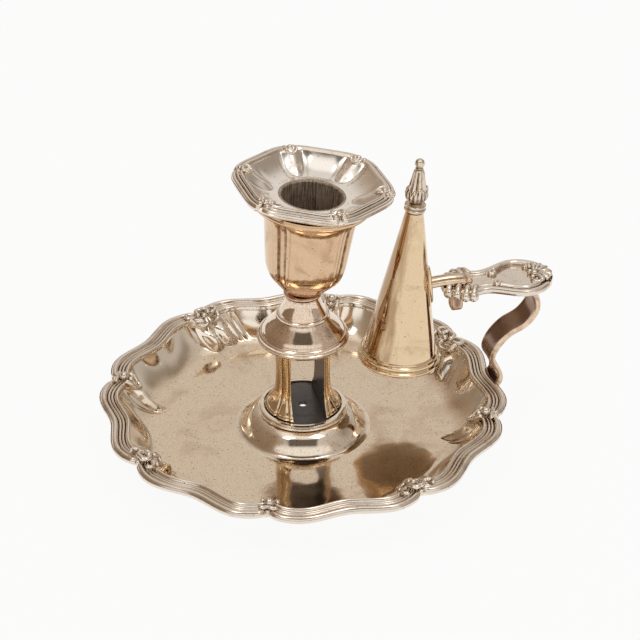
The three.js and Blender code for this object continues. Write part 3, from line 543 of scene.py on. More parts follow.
def sheetSurface(profile, relief, reach, angle, lift, probe=0.05):  # points lifted along the normal
    reach, angle = np.broadcast_arrays(np.asarray(reach, float), np.asarray(angle, float))
    radius, height = profile(reach, angle)
    outRadius, outHeight = profile(reach + probe, angle)
    inRadius, inHeight = profile(reach - probe, angle)
    run, rise = outRadius - inRadius, outHeight - inHeight
    slope = np.hypot(run, rise)
    if relief:
        lift = lift + relief(reach, angle)
    radius = radius - rise / slope * lift
    height = height + run / slope * lift
    return np.stack((radius * np.cos(angle), radius * np.sin(angle), height), -1)


def sheetForm(top, below):  # a sheet with two faces, closed at both edges
    points = np.concatenate((top, below))
    return points.reshape(-1, 3), gridFaces(*points.shape[:2], True, True)


reed = {"perBead": 8, "round": 0.6, "gatherAt": 0.42, "gatherBy": 0.5}


def reedLine(look):  # (share across, rise) over a row of beads
    total = sum(look["widths"])
    line = [(0, 0)]
    start = 0
    for width, height in zip(look["widths"], look["heights"]):
        for share in np.linspace(0, 1, reed["perBead"] + 1)[0 if start == 0 else 1:]:
            rise = mix(look["groove"], height, math.sin(math.pi * share) ** reed["round"])
            line.append(((start + width * share) / total, rise))
        start += width
    return np.array(line + list(look["wrap"]))


def reedForm(look, border, middle):  # one length of reeded moulding, drawn in at both ends
    across, rise = reedLine(look).T
    drawn = reed["gatherAt"] + reed["gatherBy"] * (across - reed["gatherAt"])
    half = border["pitch"] / 2 - look["nick"] / 2 / border["radius"]
    rings = []
    for offset in half * np.sin(np.linspace(-math.pi / 2, math.pi / 2, look["steps"])):
        share = np.clip((half - abs(offset)) * border["radius"] / look["roundEnd"], 0, 1)
        full = math.sqrt(1 - (1 - share) ** 2)
        reach = border["crest"] + mix(drawn, across, full) * border["width"] - look["pinch"] * (1 - full)
        lift = rise * mix(look["endRise"], 1, full)
        rings.append(border["surface"](reach, middle + offset + 0 * reach, lift))
    return sweptForm(rings)


def borderSeat(surface, hinge, heading):  # a seat gives points for (inwards, aside, lift)
    def seat(inwards, aside, lift):
        reach = hinge - inwards
        return surface(reach, heading + aside / reach, lift)
    return seat


def beads(seat, look):  # balls of (inwards, aside, lift, size)
    forms = []
    for inwards, aside, lift, size in look["beads"]:
        centre = seat(np.array([inwards]), np.array([aside]), np.array([lift]))[0]
        forms.append(ballForm(centre, size))
    return forms


def loops(seat, look):
    # Open rings of (inwards, aside, half length, half width, heading, opening, lift, thickness)
    forms = []
    for inwards, aside, length, half, heading, opening, lift, thick in look["loops"]:
        sweep = math.pi * (1 - opening / 360)
        turn = np.linspace(-sweep, sweep, 36) + math.radians(heading)
        path = seat(inwards + length * np.cos(turn), aside + half * np.sin(turn), lift + 0 * turn)
        forms.append(tubeForm(path, thick, thick))
    return forms


# Tray

tray = {
    "lobes": 8, "swell": 3.4, "cuspStep": 0.4, "shoulderShare": 0.62, "borderWidth": 7.0, "wallWidth": 11.8,
    "wallCurve": 2.4, "sheet": 1.2, "floorRise": 2.2, "lipInset": 0.8, "lipDrop": -0.7, "crestDrop": 2.0,
    "stepsPerLobe": 96, "ledge": 0.88,
    "tongues": ((2.9, 3.2, 2.7), (-3.0, 3.2, 2.7)), "tongueFrom": 55.0, "tongueTo": 64.4, "swirl": 0.45,
    "creases": ((-7.3, 1.5, 0.8), (-9.7, 1.2, 0.55)), "creaseFrom": 55.4,
    "folds": ((-0.2, 3.3, 2.4), (3.5, 1.6, 0.9)), "foldFrom": 49.6, "foldTip": 0.4, "gather": (0.3, 0.95),
    "hollowDepth": 0.3, "hollowAside": 5.4, "hollowWidth": 2.2, "fade": (-0.3, 3),
}
trayLow, trayHigh = span("tray_dish")
trayHole = tray["ledge"] * radii("stem_foot")[1]  # open below the hollow foot
rimRadius = reachAt("tray_dish", 0) + tray["lipInset"]
crestRadius = rimRadius - tray["borderWidth"]
floorRadius = crestRadius - tray["wallWidth"]
crestHeight = trayHigh[2] - tray["crestDrop"]
floorTop = tray["sheet"] + tray["floorRise"]
lobePitch = 2 * math.pi / tray["lobes"]


def lobeGrowth(angle):
    turn = angle / lobePitch
    offset = 2 * np.abs(turn - np.round(turn))
    shoulder = tray["shoulderShare"]
    fall = np.clip((offset - shoulder) / (1 - shoulder), 0, 1) ** 2
    return np.where(offset < shoulder, tray["swell"] * eased(offset, 0, shoulder),
                    mix(tray["swell"], tray["cuspStep"], fall))


def trayProfile(reach, angle):
    share = np.clip((reach - floorRadius) / tray["wallWidth"], 0, 1)
    beyond = np.clip((reach - crestRadius) / tray["borderWidth"], 0, None)
    height = floorTop + (crestHeight - floorTop) * share ** tray["wallCurve"] - tray["lipDrop"] * beyond
    return reach + lobeGrowth(angle) * share, height


def embossing(reach, angle):  # the wall is pushed up at the cusps: tongues and folds take turns
    turn = angle / lobePitch - 0.5
    index = np.round(turn)
    aside = (turn - index) * lobePitch * reach
    swept = aside - tray["swirl"] * (reach - tray["tongueTo"])
    tongues = humps(reach, swept, tray["tongues"], tray["tongueFrom"], tray["tongueTo"])
    creases = humps(reach, swept, tray["creases"], tray["creaseFrom"])
    along = np.clip((reach - tray["foldFrom"]) / (crestRadius - tray["foldFrom"]), 0, 1)
    gathered = aside / mix(*tray["gather"], along)
    away = (np.abs(gathered) - tray["hollowAside"]) / tray["hollowWidth"]
    hollow = tray["hollowDepth"] * np.exp(-away ** 2) * np.sin(math.pi * along) ** 1.5
    fold = humps(reach, gathered, tray["folds"], tray["foldFrom"])
    fold = fold * mix(tray["foldTip"], 1, along) - hollow
    rise = np.where(index % 2 == 0, np.maximum(tongues, creases), fold)
    early, run = tray["fade"]
    return rise * eased(crestRadius - early - reach, 0, run)


def traySurface(reach, angle, lift=0.0):
    return sheetSurface(trayProfile, embossing, reach, angle, lift)


def bareTray(reach, angle, lift):  # without the embossing, for what is soldered on
    return sheetSurface(trayProfile, None, reach, angle, lift)


def makeTray():
    floor = np.linspace(trayHole, floorRadius - 6, 16)
    wall = np.linspace(floorRadius - 6, crestRadius, 52)[1:]
    border = np.linspace(crestRadius, rimRadius - tray["lipInset"], 8)[1:]
    reach = np.concatenate((floor, wall, border))[:, None]
    angle = fullTurn(tray["lobes"] * tray["stepsPerLobe"])[None, :]
    top = traySurface(reach, angle)
    below = traySurface(reach[::-1], angle, -tray["sheet"])
    below[..., 2] = mix(trayLow[2], below[..., 2], eased(reach[::-1], floorRadius - 2, floorRadius + 3))
    piece = makePiece("tray_dish_formed", sheetForm(top, below))
    dress(piece, "stick", "silver_plate", traySilver, "tray_dish")
    # painted shade: faces that point down get the darker silver, as a shadow line under the border and in the
    # notches
    repaint(piece, darkSilver, lambda middle, normal: normal.z < -0.05)


rimReed = {
    "widths": (2.1, 1.15, 1.15, 2.6), "heights": (1.75, 1.1, 1.1, 1.45), "groove": 0.1,
    "wrap": ((1.03, 0.45), (1.035, -0.1), (1.015, -0.6), (0.975, -0.8), (0.93, -0.5), (0.9, 0)),
    "nick": 0.5, "roundEnd": 2.4, "steps": 120, "pinch": 1.6, "endRise": 0.25,
}


def makeRimReeds():
    border = {"pitch": lobePitch, "radius": rimRadius, "crest": crestRadius, "width": tray["borderWidth"],
              "surface": bareTray}
    for i in range(tray["lobes"]):
        piece = makePiece(f"rim_reed_moulded_{i + 1}", reedForm(rimReed, border, i * lobePitch))
        dress(piece, "stick", "silver_border", borderSilver, f"rim_reed_{i + 1}")


rimCast = {
    "hinge": 67.0, "worn": 7, "copies": 4,
    "shell": {
        "loops": ((4.3, 2.9, 1.4, 3.0, 0, 180, 2.0, 0.85), (4.3, -3.0, 1.4, 3.0, 0, 180, 2.0, 0.85),
                  (2.4, 0, 2.6, 2.2, 180, 110, 2.6, 0.95), (2.6, 4.6, 1.4, 1.4, 60, 110, 2.1, 0.8),
                  (2.6, -4.6, 1.4, 1.4, -60, 110, 2.1, 0.8)),
        "beads": ((3.0, 0, 2.2, 1.2), (-1.3, 0, 0.3, 1.25)),
    },
    "leaf": {
        "loops": ((4.7, 0, 1.7, 2.4, 0, 140, 2.0, 0.9), (2.2, 0, 1.9, 3.0, 180, 200, 1.9, 0.8)),
        "beads": ((2.0, 0, 2.5, 1.7), (4.6, 0, 1.7, 1.0), (-1.3, 0, 0.3, 1.25)),
    },
}


def makeRimOrnaments():
    for first, kind in enumerate(("shell", "leaf")):
        seat = borderSeat(bareTray, rimCast["hinge"], (first + 0.5) * lobePitch)
        forms = loops(seat, rimCast[kind]) + beads(seat, rimCast[kind])
        piece = castPiece(f"rim_{kind}_cast_1", forms, worn=rimCast["worn"])
        copies = [turnedCopy(piece, f"rim_{kind}_cast_{k + 1}", 360 / rimCast["copies"] * k)
                  for k in range(1, rimCast["copies"])]
        for k, copy in enumerate([piece] + copies):
            dress(copy, "stick", "silver_border", borderSilver, f"rim_{kind}_{k + 1}")


makeTray()
makeRimReeds()
makeRimOrnaments()
print("tray made, crest at", round(crestHeight, 2), "mm")


# Stem: each line is in shares of its node's radius and height

def shareLine(node, line, place=None):
    low, high = span(node, place)
    radius = radii(node, place)[1]
    return [(r * radius, mix(low[2], high[2], h), f * radius) for r, h, f in line]


def turnedPiece(name, node, line, steps, body, slot, material, place=None):
    form = turnedForm(filleted(shareLine(node, line, place)), steps)
    dress(makePiece(name, form, place), body, slot, material, node)


footLine = {
    "base": ((0.9, -0.036), (1.12, -0.036)),
    "side": ((1.12, -0.03), (1.108, -0.004), (1.08, 0.01), (1.046, 0.035), (1.018, 0.075), (0.994, 0.14),
             (0.966, 0.25), (0.925, 0.43), (0.875, 0.615), (0.815, 0.795), (0.745, 0.93), (0.69, 0.988),
             (0.64, 1.0)),
    "inside": ((0.525, 1.0), (0.525, 0.86), (0.72, 0.82), (0.8, 0.66), (0.86, 0.4), (0.9, 0.12),
               (0.9, -0.036)),
}


def makeFoot():  # heights are shares from the tray's floor to the foot's top
    top = span("stem_foot")[1][2]
    radius = radii("stem_foot")[1]
    base, side, inside = ([(radius * r, mix(floorTop, top, h)) for r, h in footLine[key]]
                          for key in ("base", "side", "inside"))
    form = turnedForm(np.vstack((base, smoothLine(side), inside)), 160)
    dress(makePiece("stem_foot_dome", form), "stick", "silver_plate", footSilver, "stem_foot")


footRingLine = (
    (0.864, 0, 0), (0.97, 0, 0.02), (1, 0.25, 0.03), (0.985, 0.5, 0.02), (0.955, 0.52, 0.004),
    (0.955, 0.62, 0.004), (0.965, 0.75, 0.012), (0.945, 0.92, 0.01), (0.91, 1, 0.006), (0.864, 1, 0),
    (0.864, 0, 0),
)
collarLine = ((0, 0, 0), (0.9, 0, 0.03), (1, 0.3, 0.06), (1, 0.7, 0.06), (0.9, 1, 0.03), (0, 1, 0))
slotRoofLine = ((0, 0, 0), (1, 0, 0.01), (1, 1, 0.01), (0, 1, 0))


def makeRings():
    turnedPiece("foot_ring_turned", "foot_ring", footRingLine, 144, "stick", "silver_plate", stemSilver)
    turnedPiece("neck_collar_turned", "neck_collar", collarLine, 96, "stick", "worn_gilt", brownCopper)


def makeSlotPlates():
    hole, edge = radii("slot_floor")
    vent = hole / edge
    floor = ((vent, 0, 0), (1, 0, 0.01), (1, 1, 0.01), (vent + 0.012, 1, 0.006), (vent, 0.8, 0.004),
             (vent, 0, 0))
    turnedPiece("slot_floor_plate", "slot_floor", floor, 112, "stick", "sooty_inside", sootyMetal)
    turnedPiece("slot_roof_plate", "slot_roof", slotRoofLine, 112, "stick", "sooty_inside", sootyMetal)


cheek = {
    "side": ((1.0, 0), (1.0, 0.03), (0.965, 0.045), (0.945, 0.07), (0.875, 0.115), (0.80, 0.18),
             (0.745, 0.27), (0.72, 0.42), (0.715, 0.65), (0.73, 0.88), (0.755, 1.0)),
    "bevel": 0.7, "arcSteps": 72, "flutes": ((0.5, 0.7, 0.55), (0.86, 0.45, 0.3)),
}


def makeCheeks():
    for side, sign in (("left", -1), ("right", 1)):
        node = f"slot_cheek_{side}"
        low, high = span(node)
        wall = low[0] if sign > 0 else -high[0]
        radius = radii(node)[1]
        rings = []
        for share, up in smoothLine(cheek["side"], 6):
            outer = share * radius
            corner = math.sqrt(outer ** 2 - wall ** 2)
            swing = math.atan2(corner, wall)
            edge = cheek["bevel"] / outer
            arc = np.linspace(-swing + edge, swing - edge, cheek["arcSteps"])
            depth = sum(deep * np.exp(-((np.abs(arc) / swing - at) * swing * outer / half) ** 2)
                        for at, half, deep in cheek["flutes"])
            loop = [((outer - d) * math.cos(a), (outer - d) * math.sin(a)) for a, d in zip(arc, depth)]
            flat = [(wall, corner - cheek["bevel"]), (wall, -corner + cheek["bevel"])]
            turnIn = filleted([(*loop[-1], 0), (wall, corner, widest), (*flat[0], 0)])[1:-1]
            turnOut = filleted([(*flat[1], 0), (wall, -corner, widest), (*loop[0], 0)])[1:-1]
            middle = [(wall, mix(flat[0][1], flat[1][1], s)) for s in (0, 0.25, 0.5, 0.75, 1)]
            ring = loop + list(turnIn) + middle + list(turnOut)
            rings.append([(sign * x, y, mix(low[2], high[2], up)) for x, y in ring])
        piece = makePiece(f"slot_cheek_{side}_bar", sweptForm(rings))
        dress(piece, "stick", "worn_gilt", wornGilt, node)
        repaint(piece, sootyMetal, lambda middle, normal: normal.x * sign < -0.9)


flangeLine = {
    "rim": ((0.9, 0, 0), (0.965, 0, 0.03), (1, 0.045, 0.03), (0.998, 0.085, 0.02), (0.972, 0.1, 0.004),
            (0.972, 0.115, 0.004), (0.965, 0.15, 0.018), (0.925, 0.18, 0.012), (0.912, 0.176, 0.003),
            (0.903, 0.168, 0.003), (0.894, 0.186, 0.003), (0.88, 0.205, 0)),
    "saucer": ((0.875, 0.21), (0.82, 0.285), (0.73, 0.375), (0.645, 0.465), (0.585, 0.54)),
    "step": ((0.58, 0.545, 0), (0.572, 0.57, 0.006), (0.568, 0.595, 0.012), (0.545, 0.612, 0.008),
             (0.52, 0.612, 0.003), (0.512, 0.63, 0)),
    "neck": ((0.508, 0.64), (0.468, 0.71), (0.425, 0.79), (0.392, 0.87), (0.377, 0.94), (0.376, 1.0)),
    "inside": ((0, 1), (0, 0.92), (0.3, 0.9), (0.42, 0.6), (0.8, 0.16), (0.895, 0.09), (0.9, 0)),
}


def makeFlange():
    def shares(key):
        return shareLine("stem_flange", [(*p, 0)[:3] for p in flangeLine[key]])
    line = np.vstack((filleted(shares("rim")), smoothLine([p[:2] for p in shares("saucer")]),
                      filleted(shares("step")), smoothLine([p[:2] for p in shares("neck")]),
                      [p[:2] for p in shares("inside")]))
    piece = makePiece("stem_flange_turned", turnedForm(line, 160))
    dress(piece, "stick", "silver_plate", flangeSilver, "stem_flange")


makeFoot()
makeRings()
makeSlotPlates()
makeCheeks()
makeFlange()
print("stem made")


# Socket and nozzle: both stand on the leaning axis

nozzleLift = next(joint for joint in frame["joints"] if joint["name"] == "nozzle_lift")
lean = math.atan2(nozzleLift["axis"][0], nozzleLift["axis"][2])
leanPlace = Matrix.Translation((0, 0, span("neck_collar")[1][2])) @ Matrix.Rotation(lean, 4, "Y")

socket = {
    "side": ((6.3, -0.35), (7.0, 0.2), (8.2, 1.2), (10.4, 3.6), (12.6, 6.2), (13.9, 9.2), (14.5, 13.0),
             (15.0, 18.0), (15.5, 23.0), (16.1, 27.6), (17.0, 30.8), (18.4, 32.7), (19.4, 33.25)),
    "lip": ((19.4, 33.25, 0), (19.65, 33.0, 0.1), (20.3, 33.05, 0.35), (20.6, 33.7, 0.4), (20.4, 34.5, 0.4),
            (19.6, 34.8, 0.2), (18.4, 34.8, 0.3), (15.4, 30.2, 2), (14.2, 22.0, 0), (12.6, 9.4, 2),
            (9.0, 2.6, 1), (0, 2.4, 0)),
    "strips": 4, "heading": 40, "stripHalf": 8.0, "stripDepth": 0.8, "stripEdge": (-1.4, 0.4),
    "beadAside": 2.2, "beadHalf": 1.5, "beadHeight": 0.28, "ribHalf": 2.6, "ribHeight": 0.35,
    "panelFlat": 0.018, "fadeIn": 3.5, "fadeOut": 4.5, "to": 32.5,
}


def panelled(radius, angle, height):  # broad panels between narrow sunk strips, on the outside only
    pitch = 2 * math.pi / socket["strips"]
    turn = (angle - math.radians(socket["heading"])) / pitch
    aside = np.degrees(np.abs(turn - np.round(turn)) * pitch)
    up = height - span("socket_cup", leanPlace)[0][2]
    strength = eased(up, 0.0, socket["fadeIn"]) * eased(socket["to"] - up, 0, socket["fadeOut"])
    fromEdge = aside - socket["stripHalf"]
    edge = eased(fromEdge, *socket["stripEdge"])
    bead = np.exp(-((fromEdge - socket["beadAside"]) / socket["beadHalf"]) ** 2) * socket["beadHeight"]
    rib = np.exp(-(aside / socket["ribHalf"]) ** 2) * socket["ribHeight"]
    flat = socket["panelFlat"] * radius * eased(aside, socket["stripHalf"], 45)
    outside = radius > 0.97 * np.interp(up, [p[1] for p in socket["side"]], [p[0] for p in socket["side"]])
    change = (bead + rib - socket["stripDepth"] * (1 - edge) - flat) * strength
    return np.where(outside, radius + change, radius), height


def makeSocket():
    base = span("socket_cup", leanPlace)[0][2]
    side = smoothLine(socket["side"], 7)
    line = np.vstack(([(0, side[0][1])], side, filleted(socket["lip"])[1:]))
    form = turnedForm(line + (0, base), 288, panelled)
    dress(makePiece("socket_cup_panelled", form, leanPlace), "stick", "worn_gilt", cupGilt, "socket_cup")


nozzle = {
    "sides": 6, "cornerHeading": 37, "cornerGrowth": 1.5, "flatWidth": 1.6, "borderWidth": 4.2,
    "lipDrop": 1.2, "lipInset": 0.5, "sheet": 1.0, "stepsPerSide": 96, "curve": 1.8, "fineFrom": 13.5,
    "bosses": ((0, 3.4, 1.35),), "bossFrom": 13.6, "gather": (0.7, 1.15), "dent": 0.3, "dentAside": 4.7,
    "dentHalf": 1.2, "fade": (-1.5, 2),
}
panLow, panHigh = span("nozzle_pan", leanPlace)
panTop = panLow[2] + nozzle["sheet"]
panHole = radii("nozzle_pan", leanPlace)[0]
sideMiddle = nozzle["cornerHeading"] + 180 / nozzle["sides"]
sideRadius = reachAt("nozzle_pan", sideMiddle, leanPlace) + nozzle["lipInset"]
panCrestRadius = sideRadius - nozzle["borderWidth"]
panFlat = panHole + nozzle["flatWidth"]
sidePitch = 2 * math.pi / nozzle["sides"]
cornerTurn = math.radians(nozzle["cornerHeading"])


def fromCorner(angle):  # how far the nearest corner is, as a share of a side
    turn = (angle - cornerTurn) / sidePitch
    return turn - np.round(turn)


def nozzleProfile(reach, angle):
    share = np.clip((reach - panFlat) / (panCrestRadius - panFlat), 0, 1)
    beyond = np.clip((reach - panCrestRadius) / nozzle["borderWidth"], 0, None)
    straight = sideRadius * (1 / np.cos((0.5 - np.abs(fromCorner(angle))) * sidePitch) - 1)
    growth = -0.5 * np.log(np.exp(-2 * straight) + np.exp(-2 * nozzle["cornerGrowth"]))  # cut-off corners
    height = panTop + (panHigh[2] - panTop) * share ** nozzle["curve"] - nozzle["lipDrop"] * beyond
    return reach + growth * share, height


def panRelief(reach, angle):  # a boss in each corner, with a dent on either side
    aside = fromCorner(angle) * sidePitch * reach
    along = np.clip((reach - nozzle["bossFrom"]) / (panCrestRadius - nozzle["bossFrom"]), 0, 1)
    gathered = aside / mix(*nozzle["gather"], along)
    away = (np.abs(gathered) - nozzle["dentAside"]) / nozzle["dentHalf"]
    dent = nozzle["dent"] * np.exp(-away ** 2) * np.sin(math.pi * along)
    boss = humps(reach, gathered, nozzle["bosses"], nozzle["bossFrom"])
    early, run = nozzle["fade"]
    return (boss - dent) * eased(panCrestRadius - early - reach, 0, run)


def panSurface(reach, angle, lift=0.0):
    return sheetSurface(nozzleProfile, panRelief, reach, angle, lift)


def barePan(reach, angle, lift):  # without the bosses, for what is soldered on
    return sheetSurface(nozzleProfile, None, reach, angle, lift)


def makeNozzlePan():
    fine = nozzle["fineFrom"]
    reach = np.concatenate((np.linspace(panHole, fine, 6), np.linspace(fine, panCrestRadius, 38)[1:],
                            np.linspace(panCrestRadius, sideRadius - nozzle["lipInset"], 6)[1:]))[:, None]
    angle = (fullTurn(nozzle["sides"] * nozzle["stepsPerSide"]) + cornerTurn)[None, :]
    form = sheetForm(panSurface(reach, angle), panSurface(reach[::-1], angle, -nozzle["sheet"]))
    piece = makePiece("nozzle_pan_formed", form, leanPlace)
    dress(piece, "nozzle", "silver_border", panSilver, "nozzle_pan")


nozzleReed = {
    "widths": (1.5, 1.1, 1.6), "heights": (1.35, 1.0, 1.15), "groove": 0.4,
    "wrap": ((1.05, 0.3), (1.06, -0.3), (1.04, -0.9), (0.98, -1.15), (0.92, -0.9), (0.9, 0)),
    "nick": 0.6, "roundEnd": 1.5, "steps": 76, "pinch": 0.7, "endRise": 0.3,
}
nozzleShell = {
    "hinge": 25.0, "voxel": 0.13, "loops": ((2.7, 0, 1.6, 1.9, 0, 170, 1.3, 0.55),),
    "beads": ((1.2, 1.4, 0.5, 1.15), (1.2, -1.4, 0.5, 1.15), (2.6, 0, 1.0, 1.1), (2.2, 2.6, 0.6, 0.8),
              (2.2, -2.6, 0.6, 0.8)),
}


def makeNozzleBorder():  # a reeded length on each side and a shell on each corner
    border = {"pitch": sidePitch, "radius": sideRadius, "crest": panCrestRadius,
              "width": nozzle["borderWidth"], "surface": barePan}
    corners = [cornerTurn + i * sidePitch for i in range(nozzle["sides"])]
    for i, corner in enumerate(corners):
        form = reedForm(nozzleReed, border, corner + sidePitch / 2)
        piece = makePiece(f"nozzle_reed_moulded_{i + 1}", form, leanPlace)
        dress(piece, "nozzle", "silver_border", borderSilver, f"nozzle_reed_{i + 1}")
    for i, corner in enumerate(corners):
        seat = borderSeat(barePan, nozzleShell["hinge"], corner)
        forms = loops(seat, nozzleShell) + beads(seat, nozzleShell)
        piece = castPiece(f"nozzle_shell_cast_{i + 1}", forms, nozzleShell["voxel"], leanPlace)
        dress(piece, "nozzle", "silver_border", borderSilver, f"nozzle_shell_{i + 1}")


def makeNozzleTube():
    low, high = span("nozzle_tube", leanPlace)
    inner, outer = radii("nozzle_tube", leanPlace)
    line = filleted([(inner, low[2], 0), (outer, low[2], 0.2), (outer, high[2] - 0.4, 0.1),
                     (outer + 0.35, high[2], 0.2), (inner + 0.3, high[2], 0.2), (inner, high[2] - 0.5, 0.4),
                     (inner, low[2], 0)])
    piece = makePiece("nozzle_tube_rolled", turnedForm(line, 112), leanPlace)
    dress(piece, "nozzle", "sooty_inside", streakedSoot, "nozzle_tube")


makeSocket()
makeNozzlePan()
makeNozzleBorder()
makeNozzleTube()
print("socket and nozzle made, leaning", round(math.degrees(lean), 1), "degrees")


# Handle

thumb = {
    "flareRun": 7.6, "waistRun": 6.4, "spoonRun": 14.0, "startHalf": 2.6, "flareHalf": 8.0, "waistHalf": 6.4,
    "dish": 0.9, "waistDish": 0.35, "edge": 0.7, "under": 0.5, "slotHalf": 2.6, "slotFrom": 5.2,
}
thumbLow, thumbHigh = span("thumb_plate")
thumbStart, thumbEnd = thumbLow[0], thumbHigh[0]
spoonHalf = thumbHigh[1]
flareAt = thumbStart + thumb["flareRun"]
waistAt = flareAt + thumb["waistRun"]
spoonAt = waistAt + thumb["spoonRun"]


def thumbHalf(x):
    flare = mix(thumb["startHalf"], thumb["flareHalf"], np.clip((x - thumbStart) / thumb["flareRun"], 0, 1))
    waist = mix(thumb["flareHalf"], thumb["waistHalf"], eased(x, flareAt, waistAt))
    spoon = mix(thumb["waistHalf"], spoonHalf, eased(x, waistAt, spoonAt))
    end = spoonHalf * np.sqrt(np.clip(1 - ((x - spoonAt) / (thumbEnd - spoonAt)) ** 2, 0, 1))
    return np.select([x < flareAt, x < waistAt, x < spoonAt], [flare, waist, spoon], end)


def thumbTop(x, y):  # the spoon end is dished, and the waist a little hollow
    half = np.maximum(thumbHalf(x), 0.1)
    hollow = np.clip(1 - (y / half) ** 2, 0, 1)
    depth = mix(thumb["waistDish"], 1, eased(x, waistAt, spoonAt)) * eased(x, flareAt, waistAt)
    return thumbHigh[2] - thumb["dish"] * hollow * depth


def makeThumbPlate():
    along = np.concatenate((np.linspace(thumbStart, flareAt, 14), np.linspace(flareAt, spoonAt, 34)[1:],
                            spoonAt + (thumbEnd - spoonAt) * np.sin(np.linspace(0, math.pi / 2, 26)[1:])))
    rings = []
    for x in along:
        half = max(float(thumbHalf(x)), 0.12)
        bevel = min(thumb["edge"], 0.7 * half)
        low, high = thumbLow[2], thumbHigh[2]
        upper = [(mix(-half + bevel, half - bevel, s), high, 0) for s in np.linspace(0, 1, 21)]
        lower = [(mix(half - bevel, -half + bevel, s), low, 0) for s in np.linspace(0, 1, 11)]
        right = filleted([upper[-1], (half, high, widest), (half, low, widest), lower[0]])[1:-1]
        left = filleted([lower[-1], (-half, low, widest), (-half, high, widest), upper[0]])[1:-1]
        ring = [(x, y, float(thumbTop(x, y))) for y, _, _ in upper]
        ring += [(x, y, z) for y, z in right]
        ring += [(x, y, z - thumb["under"] * (1 - (y / half) ** 2)) for y, z, _ in lower]
        rings.append(ring + [(x, y, z) for y, z in left])
    piece = makePiece("thumb_plate_dished", sweptForm(rings))
    slotAt = thumbStart + thumb["slotFrom"]
    half = thumb["slotHalf"]
    box = [[(slotAt + half * a, half * b, z) for a, b in ((-1, -1), (1, -1), (1, 1), (-1, 1))]
           for z in (thumbLow[2] - 5, thumbHigh[2] + 5)]
    cutter = makePiece("slot_cutter", sweptForm(box))
    cut = piece.modifiers.new("slot", "BOOLEAN")
    cut.object = cutter
    cut.operation = "DIFFERENCE"
    bakeModifiers(piece, "formed")
    bpy.data.objects.remove(cutter)
    dress(piece, "stick", "silver_border", borderSilver, "thumb_plate")


thumbReed = {
    "edge": 1.3, "edgeInset": 0.9, "edgeLift": -0.75, "edgeEarly": 0.8, "endShort": 2.4, "voxel": 0.15,
    "thin": (0.45, 0.6), "thinInset": 2.7, "thinLift": 0.1, "thinShort": 1.5, "join": 68.0,
    "scroll": 1.05, "scrollInset": 2.5, "scrollLift": 0.6, "scrollSway": 0.5, "scrollShort": 5.6,
    "curl": 1.1, "curlThick": 0.8, "startCurl": (0.7, -0.75), "endCurl": (0.6, 0.8),
    "bead": 1.15, "beadLift": 0.5,
}


def edgeLine(fromX, toX, inset, steps=90):  # along the thumbpiece's edge, on its -Y side
    x = mix(fromX, toX, np.linspace(0, 1, steps))
    points = np.stack((x, -thumbHalf(x)), 1)
    for _ in range(14):
        points[1:-1] = (points[:-2] + points[1:-1] + points[2:]) / 3
    ahead = headings(points)
    inset = np.broadcast_to(inset, steps)[:, None]
    return points + inset * np.stack((-ahead[:, 1], ahead[:, 0]), 1)


def onThumb(line, lift, side):
    return np.stack((line[:, 0], side * line[:, 1], thumbTop(line[:, 0], line[:, 1]) + lift), 1)


def makeThumbReeds():  # a rolled edge all along, with a thin reed inside it and then a thick scroll
    look = thumbReed
    join, short, curl = look["join"], look["thinShort"], look["curl"]
    thin = edgeLine(flareAt + short, join - short, look["thinInset"])
    rolled = edgeLine(flareAt - look["edgeEarly"], thumbEnd - look["endShort"], look["edgeInset"], 150)
    sway = look["scrollSway"] * (1 - np.sin(math.pi * np.linspace(0, 1, 90)))
    scroll = edgeLine(join, thumbEnd - look["scrollShort"], look["scrollInset"] + sway)
    start = spiralLine(scroll[0] + (0, curl), curl, *look["startCurl"], -math.pi / 2)[::-1]
    tip = scroll[-1] - scroll[-4]
    heading = math.atan2(tip[1], tip[0]) - math.pi / 2
    centre = scroll[-1] - curl * np.array((math.cos(heading), math.sin(heading)))
    finish = spiralLine(centre, curl, *look["endCurl"], heading)
    curled = np.vstack((start, scroll, finish[1:]))
    for name, side in (("right", 1), ("left", -1)):
        forms = [tubeForm(onThumb(thin, look["thinLift"], side), *look["thin"])]
        piece = castPiece(f"thumb_reed_inner_{name}_cast", forms, look["voxel"])
        dress(piece, "stick", "silver_border", borderSilver, f"thumb_reed_inner_{name}")
        thick, lift = look["scroll"], look["scrollLift"]
        forms = [tubeForm(onThumb(rolled, look["edgeLift"], side), look["edge"], look["edge"], 14),
                 tubeForm(onThumb(curled, lift, side), look["curlThick"], look["curlThick"] * thick),
                 tubeForm(onThumb(scroll, lift, side), thick, thick),
                 ballForm(onThumb(start[:1], look["beadLift"], side)[0], look["bead"])]
        piece = castPiece(f"thumb_reed_outer_{name}_cast", forms, look["voxel"])
        dress(piece, "stick", "silver_border", borderSilver, f"thumb_reed_outer_{name}")


knuckle = {
    "count": 4, "first": 0.17, "last": 1.2, "radius": 1.8, "neck": 1.0, "wrist": 1.2, "rise": 0.2,
    "path": ((2.2, 3.8, 0), (0.8, 1.2, 0.5), (0, -0.5, -0.5), (-0.2, -0.9, -1.3)),
}


def makeKnuckles():  # rounded fingers that turn over the slanting edge and end in balls
    for name, side in (("right", 1), ("left", -1)):
        forms = []
        for share in np.linspace(knuckle["first"], knuckle["last"], knuckle["count"]):
            x = mix(thumbStart, flareAt, share)
            start = np.array((x, -float(thumbHalf(x)), thumbHigh[2] + knuckle["rise"]))
            path = smoothLine(start + knuckle["path"]) * (1, side, 1)
            forms.append(tubeForm(path, knuckle["wrist"], knuckle["neck"]))
            forms.append(ballForm(path[-1], knuckle["radius"]))
        piece = castPiece(f"thumb_scroll_{name}_cast", forms)
        dress(piece, "stick", "silver_border", borderSilver, f"thumb_scroll_{name}")


